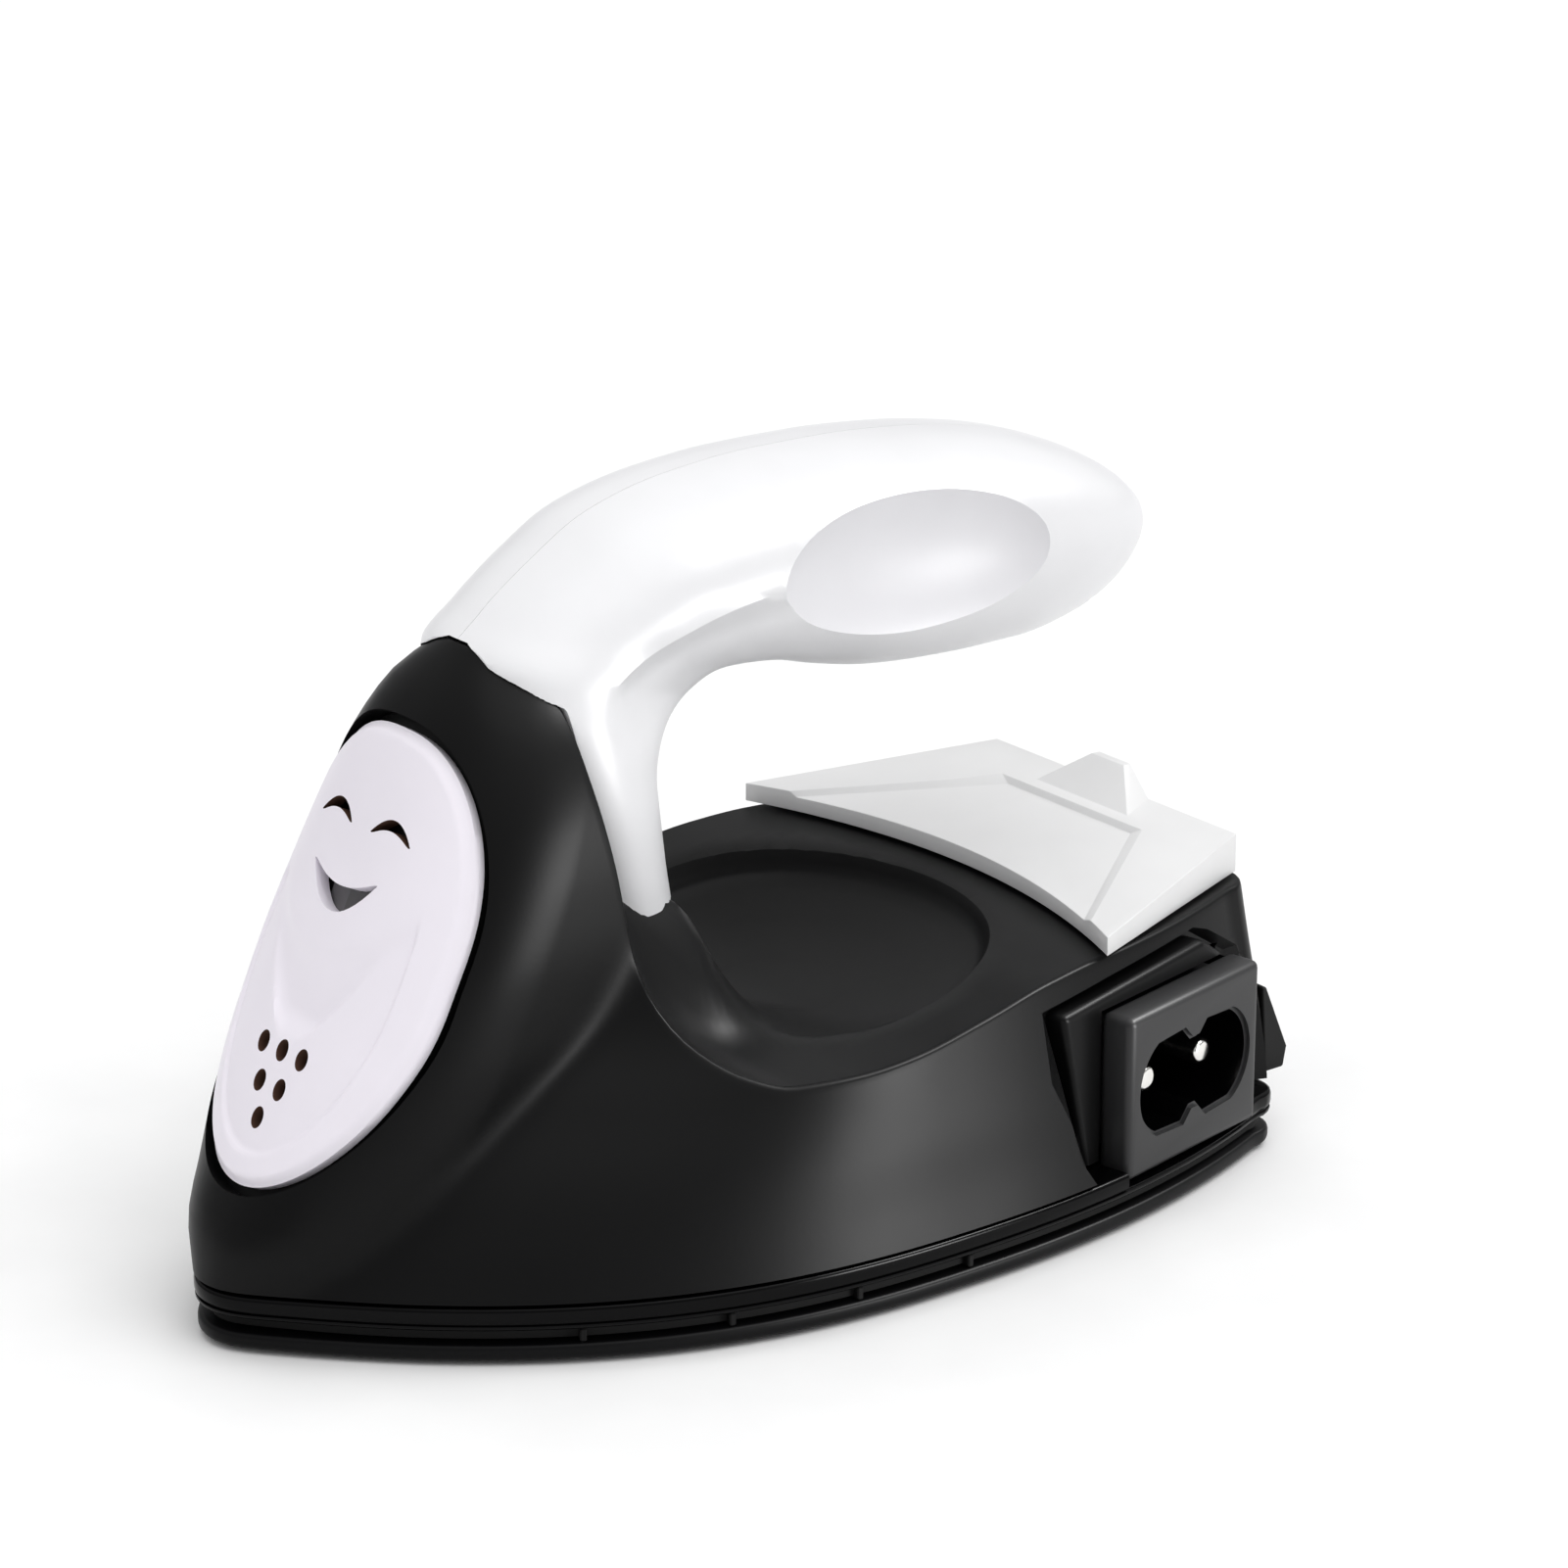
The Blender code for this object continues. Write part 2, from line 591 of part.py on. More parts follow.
def build_housing():
    levels = [row[0] for row in HULL]
    housing = add_mesh("main_housing", hull_solid(0.0, levels), PARTS, SATIN_BLACK)
    collar = add_cutter("inlet_collar", inlet_block(1.3, -INLET_REACH - 7.0, -INLET_REACH))
    keep = add_cutter("collar_floor", box((0, 60), (along(60), along(120)), (SEAM, 40)))
    boolean(collar, keep, "INTERSECT")
    boolean(housing, collar, "UNION")
    boolean(housing, add_cutter("above_rim", above(rim_height, RIM_X, RIM_Y)))
    boolean(housing, add_cutter("finger_dish", dish_solid()))
    hollow = add_cutter("hollow", hull_solid(WALL, [SEAM - 1, *levels[1:-1], 58.5]))
    boolean(hollow, add_cutter("over_hollow", above(under_rim, RIM_X, HOLLOW_Y)))
    boolean(hollow, add_cutter("inlet_backing", inlet_block(1.7, -INLET_REACH - 1.5, 12.0)))
    boolean(housing, hollow)
    boolean(housing, add_cutter("panel_window", egg(-1.3, -13.0, 9.0)))
    seat = add_cutter("panel_seat", egg(0.3, -10.0, 9.0))
    boolean(seat, add_cutter("seat_floor", hull_solid(1.4, levels)))
    boolean(housing, seat)
    boolean(housing, add_cutter("inlet_pocket", inlet_block(GAP, -INLET_REACH - 0.1, 6.0)))
    boolean(housing, add_cutter("inlet_window", inlet_neck(GAP, -20.0, 4.0)))
    for side in (1, -1):
        x, distance = HEEL_SCREWS
        hole = cylinder(1.35, (side * x, along(distance), 18), (side * x, along(distance), 27), 12)
        boolean(housing, add_cutter(f"heel_screw_hole_{side}", hole))
        x, height = HANDLE_SCREWS
        hole = cylinder(1.35, (side * x, along(28), height), (side * x, along(38), height), 12)
        boolean(housing, add_cutter(f"handle_screw_hole_{side}", hole))


# --- front panel with its vents ---


def crescent(x, up, width, height, thickness, bend):
    """Curved slot: an arc of a given width, bending up (1) or down (-1)."""
    outer, inner = [], []
    for i in range(9):
        t = -1 + i / 4
        rise = bend * height * (1 - t * t)
        outer.append((x + t * width / 2, up + rise))
        inner.append((x + t * (width / 2 - 0.25), up + rise - thickness * (1 - 0.75 * t * t)))
    return outer + inner[::-1]


VENTS = ((-2.9, -8.8), (0.0, -8.8), (2.9, -8.8), (-1.5, -12.0), (1.5, -12.0), (0.0, -15.0))


def build_panel():
    levels = (8.0, 11.0, 14.0, 20.0, 26.0, 32.0, 38.0, 44.0, 50.0, 54.0, 57.0)
    panel = add_mesh("front_panel", hull_solid(0.1, levels), PARTS, PANEL_WHITE)
    boolean(panel, add_cutter("panel_back", hull_solid(1.1, (6.0, *levels[1:-1], 57.5))))
    boolean(panel, add_cutter("panel_outline", egg(0.0, -9.0, 9.0)), "INTERSECT")
    cuts = [crescent(side * 3.7, 10.6, 5.0, 1.5, 0.9, 1) for side in (1, -1)]
    cuts.append(crescent(0.0, 6.6, 9.2, 3.4, 1.6, -1))
    cuts += [[(x + 0.55 * a, up + 0.95 * b) for a, b in circle(0, 0, 1.0, 10)] for x, up in VENTS]
    for i, points in enumerate(cuts):
        boolean(panel, add_cutter(f"panel_cut_{i}", on_panel(points, -9.0, 9.0)))


def build_panel_backing():
    """Dark sheet behind the vents, and the clear lens that shows the lamp through the lower slot."""
    levels = (8.0, 14.0, 20.0, 26.0, 32.0, 38.0, 44.0, 50.0, 54.0, 57.0)
    backing = add_mesh("vent_backing", hull_solid(1.9, levels), PARTS, SATIN_BLACK)
    boolean(backing, add_cutter("backing_back", hull_solid(2.7, (6.0, *levels[1:-1], 57.5))))
    boolean(backing, add_cutter("backing_outline", egg(-1.9, -9.0, 9.0)), "INTERSECT")
    corners = [(-5.2, 2.2), (5.2, 2.2), (5.2, 7.6), (-5.2, 7.6)]
    lens = add_mesh("indicator_lens", on_panel(corners, -9, 9), PARTS, LENS)
    shell = add_cutter("lens_shell", hull_solid(1.35, levels))
    boolean(shell, add_cutter("lens_back", hull_solid(1.65, (6.0, *levels[1:-1], 57.5))))
    boolean(lens, shell, "INTERSECT")


# --- handle ---


def handle_ring(rib, shrink=0.0, narrow=0.0, half_steps=9):
    """Closed section of the handle: broad above the crease, tapering below it."""
    outer, inner, width = rib
    outer, inner = np.array(outer, float), np.array(inner, float)
    length = np.linalg.norm(inner - outer)
    direction = (inner - outer) / length
    outer, inner = outer + direction * shrink, inner - direction * shrink
    side = []
    for i in range(half_steps + 1):
        u = (1 - math.cos(math.pi * i / half_steps)) / 2
        if u <= CREASE:
            spread = (1 - (1 - u / CREASE) ** 2.2) ** (1 / 2.2)
        else:
            spread = (1 - ((u - CREASE) / (1 - CREASE)) ** 1.9) ** (1 / 1.9)
        distance, height = outer + (inner - outer) * u
        side.append((max(width - narrow, 0.4) * spread, distance, height))
    ring = side + [(-x, d, h) for x, d, h in reversed(side[1:-1])]
    return [(x, along(d), h) for x, d, h in ring]


def dimple(side):
    """Shallow oval scoop for a fingertip on one side of the handle."""
    bm = bmesh.new()
    bmesh.ops.create_uvsphere(bm, u_segments=20, v_segments=12, radius=1.0)
    depth = 6.5
    size = Matrix.Diagonal((depth, DIMPLE_RADII[0] * 1.18, DIMPLE_RADII[1] * 1.18, 1.0))
    turn = Matrix.Rotation(DIMPLE_TILT, 4, "X")
    place = Matrix.Translation((side * 14.3, along(DIMPLE_CENTRE[0]), DIMPLE_CENTRE[1]))
    bmesh.ops.transform(bm, matrix=place @ turn @ size, verts=bm.verts)
    return add_cutter(f"dimple_{side}", bm)


def handle_seat():
    """The housing's top with a gap all round, to shape the foot of the leg."""
    seat = add_cutter("handle_seat", hull_solid(-HANDLE_GAP, [row[0] for row in HULL]))
    top = above(lambda x, d: rim_height(x, d - HANDLE_GAP) + HANDLE_GAP, RIM_X, RIM_Y)
    boolean(seat, add_cutter("above_seat", top))
    return seat


def build_handle():
    seat = handle_seat()
    hollow = add_cutter("handle_hollow", loft([handle_ring(rib, 2.4, 6.4, 6) for rib in HANDLE[5:14]]))
    for name, side in (("left", 1), ("right", -1)):
        shell = add_mesh(f"handle_{name}", loft([handle_ring(rib) for rib in HANDLE]), PARTS, HANDLE_WHITE)
        half = box(sorted((side * 0.15, side * 30)), (along(HANDLE_FRONT), 80), (0, 90))
        boolean(shell, hollow)
        boolean(shell, add_cutter(f"handle_half_{name}", half), "INTERSECT")
        boolean(shell, seat)
        boolean(shell, dimple(side))
        x, height = HANDLE_SCREWS
        pilot = cylinder(1.3, (side * x, along(25), height), (side * x, along(41.2), height), 12)
        boolean(shell, add_cutter(f"handle_pilot_{name}", pilot))
        build_screw(f"handle_screw_{name}", (side * x, along(40.8), height), (0, -1, 0), 10.0, head=1.9)


# --- heel rest ---


def tapered(front_x, front, front_z, rear_x, rear, rear_z):
    """Four corners mirrored about the centre line: half width, distance and height, front then rear."""
    front_y, rear_y = along(front), along(rear)
    return [
        (-front_x, front_y, front_z), (front_x, front_y, front_z),
        (rear_x, rear_y, rear_z), (-rear_x, rear_y, rear_z),
    ]


def build_heel():
    front_arc = [(26.4 * t, 80.0 + 5.2 * (1 - t * t)) for t in np.linspace(1, -1, 13)]
    outline = [(x, along(d)) for x, d in (*front_arc, (-17.2, 103.9), (17.2, 103.9))]
    heel = add_mesh("heel_rest", prism(outline, HEEL_BASE, 30.5), PARTS, HEEL_WHITE)
    wings = [tapered(40, 70, 25.7, 40, 110, 28.9), tapered(40, 70, 37.7, 40, 110, 40.9)]
    boolean(heel, add_cutter("above_wings", loft(wings)))
    ramp = [tapered(23.5, 78.5, 25.9, 8.8, 98.2, 27.3), tapered(29, 76, 29, 14.5, 99.5, 30.3)]
    boolean(heel, add_cutter("ramp", loft(ramp)))
    fin = [tapered(9.4, 97.6, 26.0, 7.2, 103.9, 26.0), tapered(2.3, 103.0, 31.2, 2.2, 103.9, 31.2)]
    boolean(heel, add_cutter("fin", loft(fin)), "UNION")
    for side in (1, -1):
        x, distance = side * HEEL_SCREWS[0], along(HEEL_SCREWS[1])
        pilot = cylinder(1.3, (x, distance, 20), (x, distance, 26.6), 12)
        boolean(heel, add_cutter(f"heel_pilot_{side}", pilot))
        name = "left" if side > 0 else "right"
        build_screw(f"heel_screw_{name}", (x, distance, 26.2), (0, 0, -1), 4.2, head=1.9)


def build_feet():
    """Two small ribbed feet on the rear wall, for standing the iron on its heel."""
    front = along(SOLE_LENGTH + GAP)
    for name, side in (("left", 1), ("right", -1)):
        rings = []
        for half, reach, height in ((1.7, 2.6, 6.2), (1.7, FOOT_REACH, 8.6), (1.2, 0.7, 15.4)):
            low, high, rear = side * FOOT_X - half, side * FOOT_X + half, along(SOLE_LENGTH + reach)
            rings.append([
                (low, front, height), (high, front, height), (high, rear, height), (low, rear, height),
            ])
        add_mesh(f"heel_foot_{name}", loft(rings), PARTS, RUBBER)


# --- mains inlet ---


def build_inlet():
    body = add_mesh("inlet_body", inlet_block(0.0, -INLET_REACH + GAP, 0.0), PARTS, SATIN_BLACK)
    bevel(body, 0.5, 2)
    boolean(body, add_cutter("inlet_inner", inlet_neck(0.0, -15.0, -3.0)), "UNION")
    boolean(body, add_cutter("socket", inlet_prism(socket_outline(), -SOCKET_DEPTH, 1.0)))
    for name, side in (("front", -1), ("rear", 1)):
        y = side * PIN_SPACING / 2
        frame = inlet_frame()
        start, end = frame @ Vector((-18.0, y, 0.0)), frame @ Vector((-2.5, y, 0.0))
        hole_start = frame @ Vector((-17.0, y, 0.0))
        boolean(body, add_cutter(f"pin_hole_{name}", cylinder(PIN_RADIUS + 0.25, hole_start, end, 12)))
        pin = ((0.0, 15.5), (0.7, 15.4), (PIN_RADIUS, 14.8), (PIN_RADIUS, 0.0), (0.0, 0.0))
        turned(f"inlet_pin_{name}", pin, start, end - start, NICKEL, 14)


# --- electrics ---


def build_electrics():
    fuse_y = along(68.0)
    fuse = ((0.0, 16.0), (1.5, 16.0), (2.0, 15.2), (2.0, 0.8), (1.5, 0.0), (0.0, 0.0))
    turned("thermal_fuse", fuse, (-16.0, fuse_y - 8.0, 8.4), (0, 1, 0), NICKEL, 12)
    board = box((-7.5, 7.5), (along(24.0), along(25.2)), (30.0, 42.0))
    add_mesh("lamp_board", board, PARTS, BOARD)
    lamp = ((0.0, 5.0), (1.1, 4.6), (1.5, 3.6), (1.5, 0.0), (0.0, 0.0))
    turned("indicator_lamp", lamp, (0, along(23.7), 38.0), (0, -1, 0), LENS, 12)
    resistor = ((0.0, 6.5), (1.1, 6.3), (1.1, 0.2), (0.0, 0.0))
    turned("lamp_resistor", resistor, (-3.2, along(22.4), 33.0), (1, 0, 0), RESISTOR, 12)
    frame = inlet_frame()
    tail = [frame @ Vector((-18.7, side * PIN_SPACING / 2, 0.0)) for side in (-1, 1)]
    routes = {
        "wire_inlet_to_fuse": (0.75, WIRE_BROWN, [
            (tail[0].x, tail[0].y - NOSE_Y, tail[0].z), (7, 80.5, 12.2), (-4, 80, 12.0), (-12, 82, 10.6),
            (-16.4, 82, 9.0), (-16, 77.2, 8.4)]),
        "wire_fuse_to_heater": (0.75, WIRE_BROWN, [
            (-16, 59.2, 8.4), (-16.5, 52, 8.2), (-16.6, 46, 6), (-15.6, 42, 3.4), (-14.5, 39, 2.9)]),
        "wire_inlet_to_thermostat": (0.75, WIRE_BLUE, [
            (tail[1].x, tail[1].y - NOSE_Y, tail[1].z), (5, 91, 13), (-4, 90.5, 14.6), (-10, 86, 15.0),
            (-13, 70, 13.4), (-13, 50, 12.6), (-12.5, 34, 11.6), (-12.5, 26, 9.4), (-11.2, 21.5, 7.9),
            (-9.3, 20.5, 7.55)]),
        "wire_thermostat_to_heater": (0.75, WIRE_BLUE, [
            (9.2, 20.5, 4.65), (12.0, 22, 5.0), (15.5, 29, 4.6), (16.0, 36, 3.6), (14.6, 42, 2.9)]),
        "wire_lamp_live": (0.55, WIRE_RED, [
            (-5.5, 26.0, 31), (-6.5, 29, 27), (-11, 33, 18), (-17, 44, 12.4), (-17.5, 52, 10.9)]),
        "wire_lamp_neutral": (0.55, WIRE_RED, [
            (5.5, 26.0, 31), (6.5, 29, 26), (11, 31, 16), (15.5, 35, 8.0)]),
    }
    for name, (radius, material, route) in routes.items():
        wire(name, [(x, along(distance), z) for x, distance, z in route], radius, material)


clear_scene()
PARTS = make_collection("craft_iron")
CUTTERS = make_collection("cutters")
CUTTERS.hide_render = True

SATIN_BLACK = make_material("satin black plastic", (0.018, 0.018, 0.020), 0.38)
GLOSS_BLACK = make_material("gloss black plastic", (0.012, 0.012, 0.013), 0.16)
SOLE = make_material("dark coated aluminium", (0.060, 0.055, 0.062), 0.42, 0.3)
PANEL_WHITE = make_material("lilac white plastic", (0.80, 0.76, 0.86), 0.34)
HANDLE_WHITE = make_material("white plastic", (0.86, 0.86, 0.88), 0.30)
HEEL_WHITE = make_material("pale grey plastic", (0.80, 0.80, 0.80), 0.36)
RUBBER = make_material("black rubber", (0.016, 0.016, 0.016), 0.70)
LENS = make_material("smoked lens", (0.07, 0.06, 0.07), 0.20)
STEEL = make_material("plated steel", (0.62, 0.62, 0.63), 0.32, 1.0)
ALUMINIUM = make_material("aluminium", (0.75, 0.75, 0.76), 0.36, 1.0)
NICKEL = make_material("nickel plate", (0.80, 0.79, 0.76), 0.20, 1.0)
BRASS = make_material("brass", (0.76, 0.60, 0.30), 0.32, 1.0)
SILVER = make_material("silver contact", (0.85, 0.85, 0.84), 0.25, 1.0)
CERAMIC = make_material("steatite", (0.82, 0.78, 0.70), 0.50)
MICA = make_material("mica", (0.55, 0.46, 0.33), 0.48)
BOARD = make_material("circuit board", (0.35, 0.25, 0.10), 0.55)
RESISTOR = make_material("resistor body", (0.30, 0.42, 0.55), 0.45)
WIRE_BROWN = make_material("brown lead", (0.20, 0.09, 0.05), 0.55)
WIRE_BLUE = make_material("blue lead", (0.05, 0.14, 0.45), 0.55)
WIRE_RED = make_material("red lead", (0.50, 0.04, 0.03), 0.55)

build_soleplate()
build_gasket()
build_skirt()
build_heater()
build_thermostat()
build_housing()
build_panel()
build_panel_backing()
build_handle()
build_heel()
build_feet()
build_inlet()
build_electrics()
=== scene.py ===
"""Studio view of a small craft iron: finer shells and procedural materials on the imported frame."""

import json
import math

import bmesh
import bpy
import numpy as np
from mathutils import Matrix, Vector

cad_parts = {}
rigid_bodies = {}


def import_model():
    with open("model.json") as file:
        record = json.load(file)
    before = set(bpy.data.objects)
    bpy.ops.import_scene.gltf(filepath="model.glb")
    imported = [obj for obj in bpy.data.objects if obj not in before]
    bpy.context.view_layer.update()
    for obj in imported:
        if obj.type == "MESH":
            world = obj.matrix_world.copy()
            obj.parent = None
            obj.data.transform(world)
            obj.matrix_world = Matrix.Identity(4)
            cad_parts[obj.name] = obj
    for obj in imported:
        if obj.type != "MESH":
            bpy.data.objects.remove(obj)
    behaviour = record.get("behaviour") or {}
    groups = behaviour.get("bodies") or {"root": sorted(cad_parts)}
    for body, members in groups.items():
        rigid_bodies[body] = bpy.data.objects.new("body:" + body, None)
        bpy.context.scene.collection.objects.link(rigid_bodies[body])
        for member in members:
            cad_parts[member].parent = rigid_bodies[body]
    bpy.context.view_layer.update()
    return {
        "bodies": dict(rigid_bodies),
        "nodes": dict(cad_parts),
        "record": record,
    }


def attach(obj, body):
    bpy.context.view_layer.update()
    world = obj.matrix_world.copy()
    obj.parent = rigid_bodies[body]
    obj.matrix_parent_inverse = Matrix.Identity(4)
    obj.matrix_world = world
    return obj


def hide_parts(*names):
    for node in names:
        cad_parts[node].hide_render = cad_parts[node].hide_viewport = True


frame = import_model()
BODY = next(name for name in frame["bodies"] if name != "contact_arm")

# Dimensions in millimetres. Distances along the iron count back from the tip of the sole.
MM = 0.001
SOLE_LENGTH = 104.0
NOSE_Y = -53.5
WIDEST = 60.0
SEAM = 5.5
LEAST_HALF_WIDTH = 2.0

# Height: front edge, prow half width, prow depth, prow roundness, body front edge, body half width.
HULL = (
    (5.5, 0.0, 6.0, 7.0, 2.0, 0.0, 32.2),
    (9.0, 0.5, 9.5, 10.0, 2.1, 3.0, 31.2),
    (14.0, 3.0, 12.6, 13.0, 2.4, 9.0, 30.0),
    (20.0, 5.9, 14.2, 13.5, 2.8, 18.0, 28.3),
    (26.0, 8.9, 15.0, 13.5, 3.0, 27.0, 26.6),
    (32.0, 11.8, 15.2, 13.5, 3.0, 32.0, 24.0),
    (38.0, 14.8, 14.8, 13.5, 3.0, 36.0, 20.0),
    (44.0, 17.8, 13.9, 13.0, 3.0, 40.0, 16.0),
    (50.0, 20.8, 12.0, 12.0, 2.8, 44.0, 12.0),
    (54.0, 23.4, 9.8, 10.0, 2.5, 48.0, 8.0),
    (57.0, 26.4, 6.5, 8.0, 2.2, 50.0, 6.0),
    (60.0, 30.5, 3.0, 6.0, 2.0, 52.0, 4.0),
)
# Side view of the rim, and of the ridge on the centre line behind the prow: distance, height.
RIM = (
    (26.0, 58.7), (28.1, 58.1), (30.8, 57.2), (31.8, 54.5), (32.9, 47.3), (34.5, 38.5), (35.6, 31.5),
    (36.4, 27.0), (38.2, 23.9), (41.0, 21.9), (44.8, 20.8), (50.8, 20.9), (57.0, 21.4), (65.0, 22.7),
    (73.0, 24.0), (80.0, 24.4), (108.0, 24.4),
)
RIDGE = (
    (26.0, 58.7), (28.1, 58.1), (30.8, 57.2), (31.8, 54.5), (32.9, 48.3), (34.5, 43.0), (35.6, 39.6),
    (37.5, 37.2), (40.5, 35.8), (44.0, 34.0), (46.2, 32.2), (48.6, 28.2), (51.5, 24.6), (56.0, 22.6),
    (60.0, 22.2), (65.0, 22.7), (73.0, 24.0), (80.0, 24.4), (108.0, 24.4),
)
RIDGE_HALF_WIDTH = 12.5

DISH_CENTRE = 63.0
DISH_RADII = (21.8, 19.4)
DISH_LIP = 1.7
DISH_DEPTH = 3.4

PANEL_TILT = math.radians(25.9)
PANEL_CENTRE = (12.4, 33.1)
PANEL_RADII = (13.2, 21.3)
VENTS = ((-2.9, -8.8), (0.0, -8.8), (2.9, -8.8), (-1.5, -12.0), (1.5, -12.0), (0.0, -15.0))

# Handle ribs from the foot of the leg to the tail: outer point, inner point (distance, height), half width.
HANDLE = (
    ((35.8, 33.0), (47.6, 33.0), 10.4),
    ((34.1, 37.5), (46.8, 37.0), 11.1),
    ((30.3, 45.0), (46.2, 43.5), 11.9),
    ((27.8, 52.0), (47.6, 47.3), 11.6),
    ((27.2, 56.8), (51.0, 50.0), 10.8),
    ((30.4, 60.2), (55.0, 51.2), 10.6),
    ((35.8, 64.0), (60.0, 50.6), 11.3),
    ((42.0, 67.3), (65.0, 49.1), 11.9),
    ((50.0, 69.1), (71.0, 47.7), 12.0),
    ((59.0, 69.7), (77.0, 47.0), 12.0),
    ((68.0, 69.5), (83.0, 46.7), 12.0),
    ((77.0, 68.7), (88.5, 46.7), 11.9),
    ((86.0, 67.1), (94.0, 47.6), 11.4),
    ((93.5, 64.7), (98.5, 49.6), 10.0),
    ((99.2, 61.6), (101.3, 52.4), 7.4),
    ((102.6, 58.0), (102.8, 55.2), 3.6),
)
CREASE = 0.4
DIMPLE_CENTRE = (70.0, 59.3)
DIMPLE_RADII = (14.0, 7.8)
DIMPLE_TILT = math.radians(-3.5)

INLET_CENTRE = (28.35, 89.3, 11.9)
INLET_TURN = math.radians(12.4)
INLET_FACE = (20.0, 15.8)
INLET_REACH = 3.7
SOCKET = (16.4, 9.6)
PIN_RADIUS = 1.2
PIN_OFFSET = 4.3
FOOT_X = 20.2

# Positions along a half outline where the rear corner starts and ends.
CORNER_START, CORNER_END = 0.86, 0.93

# Clearances and wall thicknesses.
PANEL_GROOVE = 0.6
PANEL_SEAT = 1.6
PANEL_BACK = 1.5
PANEL_SHRINK = 0.32
INLET_GAP = 0.3
HANDLE_GAP = 0.22
HALF_GAP = 0.03
HOLLOW_WALL = 3.0

# Noise scales of the materials: moulding grain and slow tone.
GRAIN_SCALE = 2700.0
TONE_SCALE = 55.0

# Camera at the photograph's viewing angle: degrees, metres and millimetres of lens.
CAMERA_TURN = (52.78, 20.73, -0.33)
CAMERA_TARGET = (0.0, -0.0015, 0.02836)
CAMERA_DISTANCE = 0.5295
CAMERA_LENS = 134.9
CAMERA_SHIFT = (0.0661, 0.0770)


def along(distance):
    return NOSE_Y + distance


def table_reader(table):
    """Smooth curve through a table's rows, read at one value of the first column."""
    rows = np.array(table, float)
    x, y = rows[:, 0], rows[:, 1:]
    step = np.diff(x)[:, None]
    slope = np.diff(y, axis=0) / step
    product, total = slope[1:] * slope[:-1], slope[1:] + slope[:-1] + 1e-12
    tangent = np.vstack([slope[:1], np.where(product > 0, 2 * product / total, 0.0), slope[-1:]])

    def read(value):
        value = min(max(value, x[0]), x[-1])
        i = min(int(np.searchsorted(x, value, side="right")) - 1, len(x) - 2)
        h = x[i + 1] - x[i]
        t = (value - x[i]) / h
        return (
            (2 * t**3 - 3 * t**2 + 1) * y[i] + (t**3 - 2 * t**2 + t) * h * tangent[i]
            + (3 * t**2 - 2 * t**3) * y[i + 1] + (t**3 - t**2) * h * tangent[i + 1]
        )

    return read


READ_HULL = table_reader(HULL)
READ_RIM = table_reader(RIM)
READ_RIDGE = table_reader(RIDGE)


def ease(value, low, high):
    """0 below low, 1 above high, smooth between them."""
    t = min(max((value - low) / (high - low), 0.0), 1.0)
    return t * t * (3 - 2 * t)


# --- the outer shape of the housing ---


def half_width(distance, level, inset=0.0):
    """Half width of the outer wall at a height whose row of HULL is given."""
    front, prow_width, prow_depth, prow_round, body_front, body_width, height = level
    front, body_front = front + 1.15 * inset, body_front + 1.15 * inset
    prow_width, body_width = max(prow_width - inset, 0.5), max(body_width - inset, 0.5)
    prow = body = 0.0
    if distance > front:
        t = min((distance - front) / prow_depth, 1.0)
        full = prow_width * (1 - (1 - t) ** 2.2) ** (1 / prow_round)
        tail = full - 0.08 * max(distance - front - prow_depth, 0.0)
        prow = max(tail, min(full, LEAST_HALF_WIDTH))
    if distance >= WIDEST:
        narrowing = 0.275 + 0.055 * min(max((height - SEAM) / 20, 0.0), 1.0)
        body = body_width * (1 - narrowing * ((distance - WIDEST) / (SOLE_LENGTH - WIDEST)) ** 2.3)
    elif distance > body_front:
        u = (WIDEST - distance) / (WIDEST - body_front)
        body = body_width * (1 - u**2.4) ** 0.86
    return (prow**5 + body**5) ** 0.2


def level_at(height):
    return (*READ_HULL(height), height)


def wall_point(u, height, inset=0.0, corner=3.0):
    """Point on the +X side of the outer wall, for u from the nose (0) to the middle of the rear (1)."""
    level = level_at(height)
    front, rear = level[0] + 1.15 * inset, SOLE_LENGTH - inset
    if u <= CORNER_START:
        distance = front + (rear - corner - front) * (u / CORNER_START) ** 1.7
        return (half_width(distance, level, inset) if u > 0 else 0.0, distance)
    corner_x = half_width(rear - corner, level, inset)
    if u <= CORNER_END:
        turn = math.radians(90 * (u - CORNER_START) / 0.07)
        return (corner_x - corner * (1 - math.cos(turn)), rear - corner * (1 - math.sin(turn)))
    return ((corner_x - corner) * (1 - u) / 0.07, rear)


def rim_height(x, distance):
    rim, ridge = READ_RIM(distance)[0], READ_RIDGE(distance)[0]
    return rim + (ridge - rim) / (1 + (x / RIDGE_HALF_WIDTH) ** 8)


def basin(x, distance):
    reach = (x / DISH_RADII[0]) ** 2 + ((distance - DISH_CENTRE) / DISH_RADII[1]) ** 2
    return DISH_DEPTH * max(1 - reach, 0.0)


def ring_parameters(steps):
    side = [CORNER_START * i / steps for i in range(steps + 1)]
    corner = [CORNER_START + 0.07 * i / 6 for i in range(1, 7)]
    return side + corner + [CORNER_END + 0.07 * i / 3 for i in range(1, 4)]


def whole_ring(half):
    """Closed ring in x, y from half an outline of (x, distance) and anything that follows them."""
    ring = half + [(-x, *rest) for x, *rest in reversed(half[1:-1])]
    return [(x, along(distance), *rest) for x, distance, *rest in ring]


def footprint_ring(height, inset, parameters, z):
    half = [wall_point(u, height, inset) for u in parameters]
    return whole_ring([(x, distance, z) for x, distance in half])


# --- mesh helpers ---


